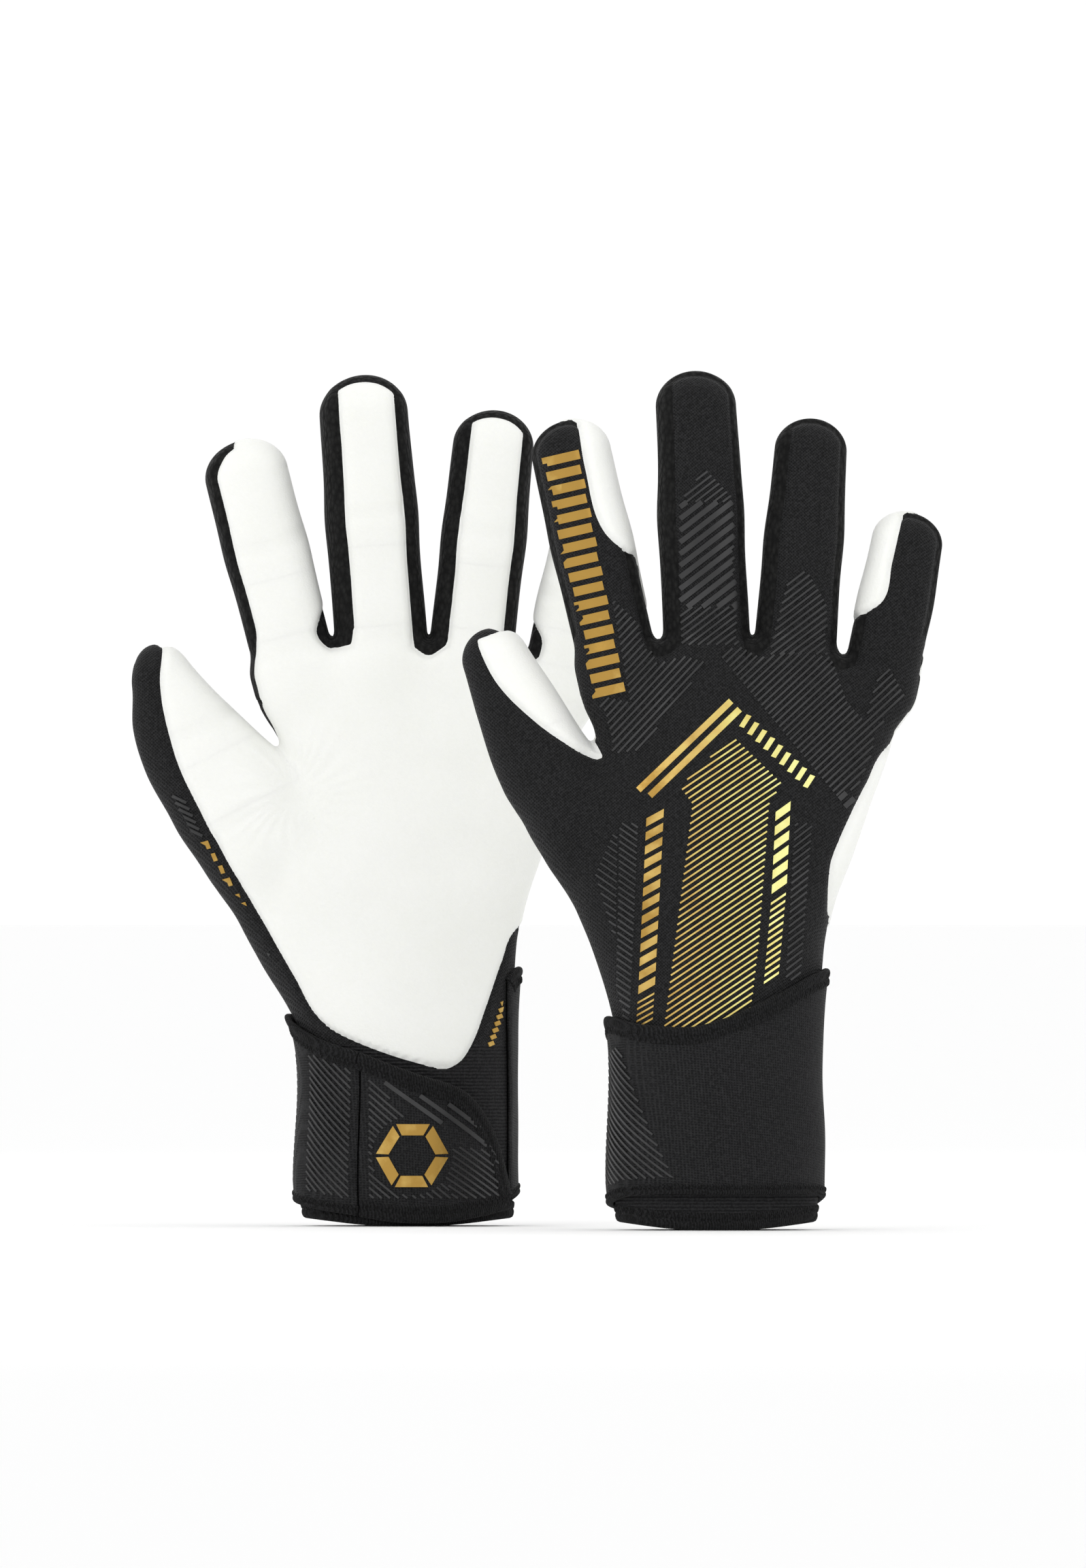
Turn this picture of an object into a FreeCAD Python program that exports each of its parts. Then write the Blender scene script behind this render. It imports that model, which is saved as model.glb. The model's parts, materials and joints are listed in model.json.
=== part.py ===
"""A pair of goalkeeper gloves standing on their cuffs, fingers up, as a parametric FreeCAD document.

Millimetres, +Z up, +X across the pair, origin on the floor under the middle of the pair.
The left glove shows its palm to -Y. The right glove stands in front of it, beside its little finger,
and shows its back to -Y. Both thumbs point to -X.

Each finger stall and each thumb is one tapered skin cut into a base and a tip segment. A segment is a
latex plate on the palm side and a shell of fabric (back, two side strips and the tip's end), so the
stall stays hollow. The palm side of each bend line is cut back as a V, which leaves room to close it.
"""
import FreeCAD, Part
import os

import Sketcher

os.makedirs("parts", exist_ok=True)

Vector = FreeCAD.Vector
X_AXIS = Vector(1, 0, 0)
Y_AXIS = Vector(0, 1, 0)

doc = FreeCAD.newDocument("goalkeeper_gloves")
sheet = doc.addObject("Spreadsheet::Sheet", "Sizes")

# ---------------------------------------------------------------- driving dimensions
SHARED_SIZES = {
    "reach": 90,             # half side of the big boxes that cut the skins
    "bend_gap": 0.25,        # each side of a bend line
    "bend_v": 38,            # half angle of the V at a bend, degrees
    "stall_wall": 3.4,       # latex or fabric round a finger stall
    "stall_end": 6,          # thickness of a stall's closed end
    "finger_flat": 0.85,     # depth of a finger over its width
    "thumb_flat": 0.72,
    "palm_drop": 12,         # the palm's latex stops this far below the finger bend lines
    "gusset_drop": 8,        # and the side strips this far
    "plate_y": 18.5,         # inner face of the hand's plates at the wrist, from the middle plane
    "plate_tilt": 4.6,       # the plates come together towards the knuckles, degrees
    "lining": 1.2,
    "wrist_z": 60,
    "cuff_half_width": 33.5,
    "cuff_half_depth": 23.5,
    "cuff_wall": 2.6,
    "binding_height": 6,
    "strap": 2.5,            # thickness of the wrist strap
    "pad": 0.8,              # thickness of each half of the hook-and-loop
    "pad_gap": 0.3,          # air between the two halves
    "half_gap": 0.2,         # the strap's halves stop this far from the middle plane
    "hinge_x": -20.2,        # the strap's free end turns about an upright line here
}

DIGITS = ("thumb", "index", "middle", "ring", "pinky")
DIGIT_FIELDS = ("x", "z", "lean", "length", "base_width", "tip_width", "bend")

# middle of the bend line at the digit's root (x, z), lean from upright in degrees, length from that
# line to the tip, width at the root and near the tip, and the second bend's distance from the root
GLOVES = {
    "left": {
        "x": -40.2, "y": 65, "palm": -1,
        "thumb": (-52, 132, -26.5, 60.5, 40, 30, 28),
        "index": (-37.5, 184, -14.5, 67.3, 25.5, 25.5, 31),
        "middle": (-8.8, 187, -4.3, 83.5, 28, 28, 38),
        "ring": (20.5, 186, 6, 73.3, 26, 25.5, 33),
        "pinky": (48.5, 174, 11, 52.5, 24, 21, 24),
        "radial_edge": ((-33, 60), (-46, 84), (-55, 98)),
    },
    "right": {
        "x": 57.1, "y": -65, "palm": 1,
        "thumb": (-52, 142, -20.5, 51.5, 31, 28, 24),
        "index": (-32, 184, -13, 72.3, 25.5, 24.5, 33),
        "middle": (-3.2, 187, -2.5, 83.5, 28, 26, 38),
        "ring": (25, 186, 4.5, 69.5, 26, 23, 32),
        "pinky": (52, 174, 11, 52.5, 24, 21, 24),
        "radial_edge": ((-33, 60), (-39, 88), (-46, 103), (-54, 116)),
    },
}
ULNAR_EDGE = ((57, 157), (49, 137), (41.5, 116), (36, 100), (34, 87), (33, 60))

# height, middle, half width and half depth of the hand's oval sections, wrist to knuckles
HAND_SECTIONS = ((60, 0, 32.5, 22.5), (85, -4, 50, 22), (120, -8, 78, 19.5), (155, 8, 66, 16.5), (190, 5, 72, 13))

# where along a rounded tip its ovals lie: sine and cosine of the angle up the rounding
TIP_OVALS = ((0.0, 1.0), (0.5, 0.866), (0.82, 0.572), (0.98, 0.199))

# outlines of the wrist strap seen square on (x, z): over the back, and the two halves on the palm side
STRAP_BACK = ((-40, 18), (-30, 10), (40, 9), (40, 82), (27, 75), (17, 69), (2, 65), (-13, 63), (-27, 64), (-40, 68))
STRAP_PALM = ((-40, 2), (-20.7, 2), (-20.7, 54), (-29.5, 57), (-40, 61))
STRAP_FLAP = ((-20, 2), (31, 2), (31, 27), (26.5, 37), (21, 43), (7, 47), (-13, 53), (-20, 54))
HOOK_PAD = ((-13, 6), (28, 6), (28, 25), (22, 37), (6, 42), (-13, 47))

used_cells = []


def put(alias, value):
    """Store one driving dimension in the sheet."""
    row = len(used_cells) + 1
    used_cells.append(alias)
    sheet.set(f"A{row}", alias)
    sheet.set(f"B{row}", str(value))
    sheet.setAlias(f"B{row}", alias)


def size(alias):
    return f"Sizes.{alias}"


def put_outline(name, points):
    """Store an outline's corners and give them back as pairs of expressions."""
    pairs = []
    for number, (across, height) in enumerate(points):
        put(f"{name}_x_{number}", across)
        put(f"{name}_z_{number}", height)
        pairs.append((size(f"{name}_x_{number}"), size(f"{name}_z_{number}")))
    return pairs


for alias, value in SHARED_SIZES.items():
    put(alias, value)
for number, section in enumerate(HAND_SECTIONS):
    for field, value in zip(("z", "x", "half_width", "half_depth"), section):
        put(f"hand_{number}_{field}", value)
for side, glove in GLOVES.items():
    put(f"{side}_x", glove["x"])
    put(f"{side}_y", glove["y"])
    for digit in DIGITS:
        for field, value in zip(DIGIT_FIELDS, glove[digit]):
            put(f"{side}_{digit}_{field}", value)

OUTLINES = {
    "ulnar": put_outline("ulnar", ULNAR_EDGE),
    "strap_back": put_outline("strap_back", STRAP_BACK),
    "strap_palm": put_outline("strap_palm", STRAP_PALM),
    "strap_flap": put_outline("strap_flap", STRAP_FLAP),
    "hook_pad": put_outline("hook_pad", HOOK_PAD),
}
for side, glove in GLOVES.items():
    OUTLINES[f"{side}_radial"] = put_outline(f"{side}_radial", glove["radial_edge"])
doc.recompute()

pieces = []


# ---------------------------------------------------------------- helpers
def bind(feature, **expressions):
    """Bind a feature's properties, such as Length or Placement_Base_x, to expressions."""
    for name, expression in expressions.items():
        path = name.replace("_", ".")
        if "." in path:
            path = "." + path
        feature.setExpression(path, expression)


def box(name, low, high, pivot=None, angle="0"):
    """A box from low to high, both triples of expressions; pivot (y, z) and angle tilt it about X."""
    feature = doc.addObject("Part::Box", name)
    spans = [f"({top}) - ({bottom})" for bottom, top in zip(low, high)]
    bind(feature, Length=spans[0], Width=spans[1], Height=spans[2])
    feature.Placement = FreeCAD.Placement(Vector(0, 0, 0), FreeCAD.Rotation(X_AXIS, 1))
    pivot_y, pivot_z = pivot or ("0", "0")
    bind(
        feature,
        Placement_Base_x=low[0],
        Placement_Base_y=f"({pivot_y}) + ({low[1]}) * cos({angle}) - ({low[2]}) * sin({angle})",
        Placement_Base_z=f"({pivot_z}) + ({low[1]}) * sin({angle}) + ({low[2]}) * cos({angle})",
        Placement_Rotation_Angle=angle,
    )
    return feature


def oval(name, half_width, half_depth, across, height):
    feature = doc.addObject("Part::Ellipse", name)
    bind(feature, MajorRadius=half_width, MinorRadius=half_depth)
    bind(feature, Placement_Base_x=across, Placement_Base_z=height)
    return feature


def loft(name, sections):
    feature = doc.addObject("Part::Loft", name)
    feature.Sections = sections
    feature.Solid = True
    feature.Ruled = True
    return feature


def common(name, shapes):
    feature = doc.addObject("Part::MultiCommon", name)
    feature.Shapes = shapes
    return feature


def cut(name, base, tool):
    feature = doc.addObject("Part::Cut", name)
    feature.Base = base
    feature.Tool = tool
    return feature


def compound(name, links):
    feature = doc.addObject("Part::Compound", name)
    feature.Links = links
    return feature


def oval_cylinder(name, half_width, half_depth, low, high):
    """An upright oval cylinder from low to high."""
    base = oval(f"{name}_oval", half_width, half_depth, "0", low)
    feature = doc.addObject("Part::Extrusion", name)
    feature.Base = base
    feature.DirMode = "Custom"
    feature.Dir = Vector(0, 0, 1)
    feature.Solid = True
    bind(feature, LengthFwd=f"({high}) - ({low})")
    return feature


def oval_tube(name, inner, wall, low, high):
    """An upright oval tube whose inside is the cuff's own oval grown by inner."""
    half_width = f"{size('cuff_half_width')} + ({inner})"
    half_depth = f"{size('cuff_half_depth')} + ({inner})"
    outside = oval_cylinder(f"{name}_outside", f"{half_width} + ({wall})", f"{half_depth} + ({wall})", low, high)
    inside = oval_cylinder(f"{name}_inside", half_width, half_depth, low, high)
    return cut(name, outside, inside)


def slab(name, points, side="both"):
    """A plate that follows an outline in the XZ plane, as deep as the whole model either way along Y.

    side picks the half in front of the middle plane (-1), the half behind it (1) or both.
    """
    body = doc.addObject("PartDesign::Body", name)
    plane = [feature for feature in body.Origin.OriginFeatures if feature.Role == "XZ_Plane"][0]
    sketch = body.newObject("Sketcher::SketchObject", f"{name}_sketch")
    sketch.AttachmentSupport = [(plane, "")]
    sketch.MapMode = "FlatFace"
    corners = [Vector(sheet.evalExpression(px), sheet.evalExpression(pz), 0) for px, pz in points]
    count = len(corners)
    for number in range(count):
        sketch.addGeometry(Part.LineSegment(corners[number], corners[(number + 1) % count]), False)
    for number in range(count):
        sketch.addConstraint(Sketcher.Constraint("Coincident", number, 2, (number + 1) % count, 1))
    for number, expressions in enumerate(points):
        places = (corners[number].x, corners[number].y)
        for kind, place, expression in zip(("DistanceX", "DistanceY"), places, expressions):
            constraint = sketch.addConstraint(Sketcher.Constraint(kind, -1, 1, number, 1, place))
            sketch.setExpression(f"Constraints[{constraint}]", expression)
    pad = body.newObject("PartDesign::Pad", f"{name}_pad")
    pad.Profile = sketch
    if side == "both":
        pad.SideType = "Symmetric"
        bind(pad, Length=f"2 * {size('reach')}")
    else:
        bind(sketch, AttachmentOffset_Base_z=f"{-side} * {size('half_gap')}")
        pad.Reversed = side > 0
        bind(pad, Length=size("reach"))
    return body


def keep(feature, node, side, digit=None):
    """Place a finished sub-part and list it under its node's name."""
    feature.Label = node
    angle = "0"
    across = size(f"{side}_x")
    height = "0"
    if digit:
        across += f" + {size(f'{side}_{digit}_x')}"
        height = size(f"{side}_{digit}_z")
        angle = size(f"{side}_{digit}_lean")
    feature.Placement = FreeCAD.Placement(Vector(0, 0, 0), FreeCAD.Rotation(Y_AXIS, 1))
    bind(
        feature,
        Placement_Base_x=across,
        Placement_Base_y=size(f"{side}_y"),
        Placement_Base_z=height,
        Placement_Rotation_Angle=angle,
    )
    pieces.append(feature)


# ---------------------------------------------------------------- finger stalls and thumbs
def digit_skin(side, digit):
    """The outside of a whole digit, upright, with its root's bend line through the origin."""
    key = f"{side}_{digit}"
    flat = size("thumb_flat" if digit == "thumb" else "finger_flat")
    root = f"{size(key + '_base_width')} / 2"
    end = f"{size(key + '_tip_width')} / 2"
    length = size(f"{key}_length")
    sections = [oval(f"{key}_oval_root", root, f"({root}) * {flat}", "0", "0")]
    for number, (up, out) in enumerate(TIP_OVALS):
        half_width = f"({end}) * {out}"
        height = f"{length} - ({end}) * {1 - up}"
        sections.append(oval(f"{key}_oval_{number}", half_width, f"({half_width}) * {flat}", "0", height))
    return loft(f"{key}_skin", sections)


def digit_pieces(side, digit):
    """Cut one digit's skin into its four sub-parts."""
    key = f"{side}_{digit}"
    palm = GLOVES[side]["palm"]
    skin = digit_skin(side, digit)
    reach = size("reach")
    gap = size("bend_gap")
    length = size(f"{key}_length")
    bend = size(f"{key}_bend")
    flat = size("thumb_flat" if digit == "thumb" else "finger_flat")
    core_y = f"({size(key + '_tip_width')} / 2 * {flat} - {size('stall_wall')})"
    core_x = f"({size(key + '_tip_width')} / 2 - {size('stall_wall')})"

    def half_space(name, height, upwards, angle):
        low, high = ("0", reach) if upwards else (f"-{reach}", "0")
        return box(name, (f"-{reach}", f"-{reach}", low), (reach, reach, high), ("0", height), angle)

    def layer(name, low_y, high_y):
        return box(name, (f"-{reach}", low_y, f"-{reach}"), (reach, high_y, f"2 * {reach}"))

    in_front = layer(f"{key}_in_front", f"-{reach}", f"-{core_y}")
    behind = layer(f"{key}_behind", core_y, reach)
    latex_side, back_side = (in_front, behind) if palm < 0 else (behind, in_front)
    strips = []
    for name, low_x, high_x in (("inner", core_x, reach), ("outer", f"-{reach}", f"-{core_x}")):
        strips.append(box(f"{key}_{name}", (low_x, f"-{core_y}", f"-{reach}"), (high_x, core_y, f"2 * {reach}")))
    end_low = f"{length} - {size('stall_end')}"
    end = box(f"{key}_end", (f"-{core_x}", f"-{core_y}", end_low), (core_x, core_y, f"{length} + {reach}"))

    tilt = f"{palm} * {size('bend_v')}"
    root_height = gap
    segments = {
        "base": [
            half_space(f"{key}_root_flat", root_height, True, "0"),
            half_space(f"{key}_root_v", root_height, True, tilt),
            half_space(f"{key}_bend_flat_below", f"{bend} - {gap}", False, "0"),
            half_space(f"{key}_bend_v_below", f"{bend} - {gap}", False, f"-({tilt})"),
        ],
        "tip": [
            half_space(f"{key}_bend_flat_above", f"{bend} + {gap}", True, "0"),
            half_space(f"{key}_bend_v_above", f"{bend} + {gap}", True, tilt),
        ],
    }
    for segment, limits in segments.items():
        name = f"{key}_{segment}"
        latex = common(f"{name}_latex_solid", [skin, latex_side] + limits)
        keep(latex, f"{name}_latex", side, digit)
        solids = [common(f"{name}_back", [skin, back_side] + limits)]
        for number, strip in enumerate(strips):
            solids.append(common(f"{name}_strip_{number}", [skin, strip] + limits))
        if segment == "tip":
            solids.append(common(f"{name}_end", [skin, end] + limits))
        keep(compound(f"{name}_shell_solids", solids), f"{name}_shell", side, digit)


# ---------------------------------------------------------------- hand
def beside(side, digit, across, along):
    """A point given along and across a digit, as a pair of expressions in the glove's own plane."""
    key = f"{side}_{digit}"
    lean = size(f"{key}_lean")
    point_x = f"{size(key + '_x')} + ({across}) * cos({lean}) + ({along}) * sin({lean})"
    point_z = f"{size(key + '_z')} - ({across}) * sin({lean}) + ({along}) * cos({lean})"
    return point_x, point_z


def hand_outline(side, drop):
    """The hand's outline from the wrist round the thumb's root and the four finger roots."""
    thumb_half = f"{size(side + '_thumb_base_width')} / 2"
    points = list(OUTLINES[f"{side}_radial"])
    points.append(beside(side, "thumb", f"-{thumb_half}", f"-{drop}"))
    points.append(beside(side, "thumb", f"{thumb_half} + 0.6", f"-{drop}"))
    points.append(beside(side, "thumb", f"{thumb_half} + 0.6", "0.5"))
    for digit in DIGITS[1:]:
        half = f"{size(f'{side}_{digit}_base_width')} / 2"
        points.append(beside(side, digit, f"-{half}", f"-{drop}"))
        points.append(beside(side, digit, half, f"-{drop}"))
    points.extend(OUTLINES["ulnar"])
    return points


def edge_strip(name, outer, inward):
    """A strip along one edge of the hand, inward wide (an expression, signed along X)."""
    inner = [(f"{px} + ({inward})", pz) for px, pz in reversed(outer)]
    return slab(name, list(outer) + inner)


def hand_pieces(side):
    palm = GLOVES[side]["palm"]
    reach = size("reach")
    sections = []
    for number in range(len(HAND_SECTIONS)):
        cells = [size(f"hand_{number}_{field}") for field in ("half_width", "half_depth", "x", "z")]
        sections.append(oval(f"{side}_hand_oval_{number}", *cells))
    skin = loft(f"{side}_hand_skin", sections)

    def plate_space(name, sign, inset, thickness):
        """The space outside (or a layer inside) one tilted plate face; sign is its side along Y."""
        low_y, high_y = f"-({inset})", f"-({inset}) + ({thickness})"
        if sign < 0:
            low_y, high_y = f"({inset}) - ({thickness})", inset
        low = (f"-2 * {reach}", low_y, f"-{reach}")
        high = (f"2 * {reach}", high_y, f"2 * {reach}")
        pivot = (f"{sign} * {size('plate_y')}", size("wrist_z"))
        return box(name, low, high, pivot, f"{sign} * {size('plate_tilt')}")

    outlines = {
        palm: slab(f"{side}_palm_outline", hand_outline(side, size("palm_drop"))),
        -palm: slab(f"{side}_back_outline", hand_outline(side, size("bend_gap"))),
    }
    names = {palm: "palm_latex", -palm: "backhand"}
    linings = []
    for sign, outline in outlines.items():
        outside = plate_space(f"{side}_{names[sign]}_space", sign, "0", reach)
        keep(common(f"{side}_{names[sign]}_solid", [skin, outline, outside]), f"{side}_{names[sign]}", side)
        layer = plate_space(f"{side}_{names[sign]}_lining_space", sign, size("lining"), size("lining"))
        linings.append(common(f"{side}_{names[sign]}_lining", [skin, outline, layer]))
    keep(compound(f"{side}_lining_solids", linings), f"{side}_lining", side)

    middle = skin
    for sign in (-1, 1):
        tool = plate_space(f"{side}_middle_space_{sign + 1}", sign, size("lining"), reach)
        middle = cut(f"{side}_middle_{sign + 1}", middle, tool)
    thumb_half = f"{size(side + '_thumb_base_width')} / 2"
    index_half = f"{size(side + '_index_base_width')} / 2"
    drop = size("gusset_drop")
    radial = OUTLINES[f"{side}_radial"] + [beside(side, "thumb", f"-{thumb_half}", f"-{drop}")]
    web = [
        beside(side, "thumb", f"{thumb_half} + 0.6", "0.5"),
        beside(side, "index", f"-{index_half}", f"-{drop}"),
    ]
    strips = (
        edge_strip(f"{side}_radial_strip", radial, "6"),
        edge_strip(f"{side}_web_strip", web, "5"),
        edge_strip(f"{side}_ulnar_strip", OUTLINES["ulnar"], "-5"),
    )
    solids = [common(f"{strip.Name}_solid", [middle, strip]) for strip in strips]
    keep(compound(f"{side}_gusset_solids", solids), f"{side}_side_gussets", side)
    return skin


# ---------------------------------------------------------------- cuff and strap
def cuff_pieces(side, hand_skin):
    palm = GLOVES[side]["palm"]
    wrist = size("wrist_z")
    binding_top = size("binding_height")
    wall = size("cuff_wall")
    keep(oval_tube(f"{side}_cuff_tube", f"-{wall}", wall, binding_top, wrist), f"{side}_cuff", side)
    keep(oval_tube(f"{side}_binding_tube", f"-{wall}", wall, "0", binding_top), f"{side}_cuff_binding", side)

    strap = size("strap")
    pad = size("pad")
    reach = size("reach")
    flap_inside = f"2 * {pad} + {size('pad_gap')}"
    wrap_tube = oval_tube(f"{side}_wrap_tube", "0", strap, "0", size("reach"))
    back = slab(f"{side}_wrap_back", OUTLINES["strap_back"], -palm)
    front = slab(f"{side}_wrap_palm", OUTLINES["strap_palm"], palm)
    back_band = common(f"{side}_back_band_whole", [wrap_tube, back])
    solids = [
        cut(f"{side}_back_band", back_band, hand_skin),
        common(f"{side}_palm_band", [wrap_tube, front]),
    ]
    keep(compound(f"{side}_strap_solids", solids), f"{side}_strap", side)

    pad_slab = slab(f"{side}_pad_slab", OUTLINES["hook_pad"], palm)
    flap_slab = slab(f"{side}_flap_slab", OUTLINES["strap_flap"], palm)
    loop_tube = oval_tube(f"{side}_loop_tube", "0", pad, "0", reach)
    hook_tube = oval_tube(f"{side}_hook_tube", f"{pad} + {size('pad_gap')}", pad, "0", reach)
    flap_tube = oval_tube(f"{side}_flap_tube", flap_inside, f"{strap} - 0.3", "0", reach)
    keep(common(f"{side}_loop_solid", [loop_tube, pad_slab]), f"{side}_loop_pad", side)
    keep(common(f"{side}_hook_solid", [hook_tube, pad_slab]), f"{side}_hook_pad", side)
    keep(common(f"{side}_flap_solid", [flap_tube, flap_slab]), f"{side}_strap_flap", side)


# ---------------------------------------------------------------- the pair
for side in GLOVES:
    hand_skin = hand_pieces(side)
    cuff_pieces(side, hand_skin)
    for digit in DIGITS:
        digit_pieces(side, digit)
doc.recompute()

for feature in doc.Objects:
    if "Invalid" in feature.State or "Error" in feature.State:
        raise RuntimeError(f"{feature.Name} failed to recompute: {feature.State}")
for feature in pieces:
    if feature.Shape.isNull() or not feature.Shape.isValid() or not feature.Shape.Solids:
        raise RuntimeError(f"{feature.Label} has no valid solid")
for feature in pieces:
    feature.Shape.exportStep(f"parts/{feature.Label}.step")

whole = FreeCAD.BoundBox()
for feature in pieces:
    whole.add(feature.Shape.optimalBoundingBox())
print(f"{len(pieces)} sub-parts, x {whole.XMin:.2f} to {whole.XMax:.2f}, y {whole.YMin:.2f} to {whole.YMax:.2f}, "
      f"z {whole.ZMin:.2f} to {whole.ZMax:.2f}")
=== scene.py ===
"""The looks of the goalkeeper gloves: foam palms, knitted backs, mesh gussets, strap, foil and gel prints.

Each glove is one smooth implicit surface, worked out in millimetres in the glove's own frame:
x across, d towards the palm, z up. It is meshed once, cut along its seams into panels, and each panel is
cut again where a digit starts to bend; the hand's pieces ride on the hand's CAD body, the digits' pieces stay
where they are made.
"""

import json
import math

import bpy
import numpy as np
import openvdb
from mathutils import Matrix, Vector

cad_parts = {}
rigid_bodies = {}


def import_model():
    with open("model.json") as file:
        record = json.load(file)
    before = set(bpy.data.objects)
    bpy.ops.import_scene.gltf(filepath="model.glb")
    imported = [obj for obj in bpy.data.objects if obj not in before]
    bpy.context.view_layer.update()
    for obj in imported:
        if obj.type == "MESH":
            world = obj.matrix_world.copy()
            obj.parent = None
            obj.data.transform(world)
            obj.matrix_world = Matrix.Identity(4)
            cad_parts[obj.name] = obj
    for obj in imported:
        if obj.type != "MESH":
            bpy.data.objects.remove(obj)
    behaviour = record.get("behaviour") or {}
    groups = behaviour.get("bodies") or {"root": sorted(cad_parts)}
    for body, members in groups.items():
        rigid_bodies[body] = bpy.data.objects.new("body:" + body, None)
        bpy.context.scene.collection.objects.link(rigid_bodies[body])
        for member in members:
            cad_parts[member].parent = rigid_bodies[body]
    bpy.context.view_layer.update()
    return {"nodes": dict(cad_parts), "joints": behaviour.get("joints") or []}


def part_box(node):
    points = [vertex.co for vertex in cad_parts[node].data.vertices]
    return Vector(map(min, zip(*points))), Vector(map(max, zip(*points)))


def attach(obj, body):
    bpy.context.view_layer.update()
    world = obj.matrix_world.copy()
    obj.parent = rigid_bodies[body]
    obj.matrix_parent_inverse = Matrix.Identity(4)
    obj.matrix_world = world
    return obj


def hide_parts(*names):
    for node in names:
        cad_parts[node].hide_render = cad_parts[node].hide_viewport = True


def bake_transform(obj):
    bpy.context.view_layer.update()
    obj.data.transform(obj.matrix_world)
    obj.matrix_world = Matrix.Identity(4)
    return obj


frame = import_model()
joints = {joint["name"]: joint for joint in frame["joints"]}

MM = 0.001
SIDES = {"left": -1, "right": 1}          # where the palm faces along Y
FINGERS = ("index", "middle", "ring", "pinky")
DIGITS = ("thumb",) + FINGERS

# ---------------------------------------------------------------- shape of the gloves (millimetres)
VOXEL = 1.0
FLAT = {"thumb": 0.72, "index": 0.84, "middle": 0.84, "ring": 0.84, "pinky": 0.84}
BULGE = 2.4                                # exponent of the sections: 2 is an ellipse, more is boxier
# half widths of each digit at its root and near its tip
WIDTHS = {
    "left": {"thumb": (20, 14.8), "index": (13.0, 12.9), "middle": (14.6, 14.2), "ring": (13.3, 12.8),
             "pinky": (12, 10.6)},
    "right": {"thumb": (17, 14), "index": (12.5, 12.2), "middle": (13.6, 12.8), "ring": (12.8, 11.2),
              "pinky": (12, 10.6)},
}
# height and x of the hand's two edges, leaving out the thumb, and half depth by height
RADIAL_EDGE = {
    "left": ((-2, -31.8), (6, -33.4), (60, -34), (70, -38.5), (84, -47), (98, -54.3), (106, -56),
             (115, -55.5), (130, -43), (143, -36.5), (157, -41.8), (170, -46), (184, -50)),
    "right": ((-2, -29.6), (6, -31.4), (60, -31.6), (72, -34), (88, -39), (100, -44), (116, -51), (132, -50),
              (148, -38.5), (156, -38), (170, -39.6), (184, -41.5)),
}
ULNAR_EDGE = {
    "left": ((-2, 31.8), (6, 33), (60, 33), (80, 33.8), (92, 34.8), (104, 37.4), (117, 41.6), (134, 47),
             (150, 51.8), (161, 54.8), (169, 57), (177, 58)),
    "right": ((-2, 29.8), (6, 31.5), (60, 31.6), (80, 33.2), (92, 34.4), (104, 37.2), (117, 42), (134, 47.9),
              (150, 53.6), (161, 56.2), (169, 58), (177, 60.5)),
}
HALF_DEPTH = ((-5, 23.5), (60, 23.2), (75, 22), (90, 20.5), (110, 19), (130, 18), (150, 16.5), (170, 14.4),
              (188, 12))
KNUCKLES = ((-50, 178), (-36, 183), (-20, 184), (8, 184), (36, 181), (50, 173), (63, 168))

# along a thumb: distance from its root, where its middle lies, half width, half depth
THUMB_LINE = {
    "left": ((-30, 6, 19, 17), (-15, 2.6, 18.5, 16.4), (0, -0.3, 21.5, 15.5), (10, -2.3, 20, 14),
             (25, -5, 17.8, 12.4), (39, -6.3, 14.1, 11), (50, -5.2, 10, 9.6), (62, -4.2, 7, 8.5)),
    "right": ((-30, 5, 12.5, 16), (-12, 2, 12.6, 15), (2, -0.3, 15.1, 14), (25, -2.1, 13.2, 12.2),
              (41, -3.3, 10.6, 10.4), (53, -3.8, 9.2, 9)),
}
THUMB_TIP_ROUND, ROOT_ROUND = 9.0, 14.0    # how long the round ends of a thumb's tip and a digit's root are

scene = bpy.context.scene


def curve_through(points, at):
    """A smooth curve through (t, value) points, by monotone cubic steps, read at the values at."""
    t = np.array([p[0] for p in points], float)
    v = np.array([p[1] for p in points], float)
    at = np.clip(at, t[0], t[-1])
    step = np.diff(t)
    slope = np.diff(v) / step
    tangent = np.concatenate(([slope[0]], (slope[1:] + slope[:-1]) / 2, [slope[-1]]))
    flat = np.concatenate(([False], slope[1:] * slope[:-1] <= 0, [False]))
    tangent[flat] = 0
    k = np.clip(np.searchsorted(t, at, side="right") - 1, 0, len(step) - 1)
    s = (at - t[k]) / step[k]
    a, b = tangent[k] * step[k], tangent[k + 1] * step[k]
    return ((2 * s ** 3 - 3 * s ** 2 + 1) * v[k] + (s ** 3 - 2 * s ** 2 + s) * a
            + (3 * s ** 2 - 2 * s ** 3) * v[k + 1] + (s ** 3 - s ** 2) * b)


def smooth_min(a, b, k):
    h = np.clip(0.5 + 0.5 * (b - a) / k, 0, 1)
    return b + (a - b) * h - k * h * (1 - h)


def smooth_max(a, b, k):
    return -smooth_min(-a, -b, k)


def ramp(low, high, value):
    """Smooth step from 0 at low to 1 at high."""
    s = np.clip((value - low) / (high - low), 0, 1)
    return s * s * (3 - 2 * s)


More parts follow.
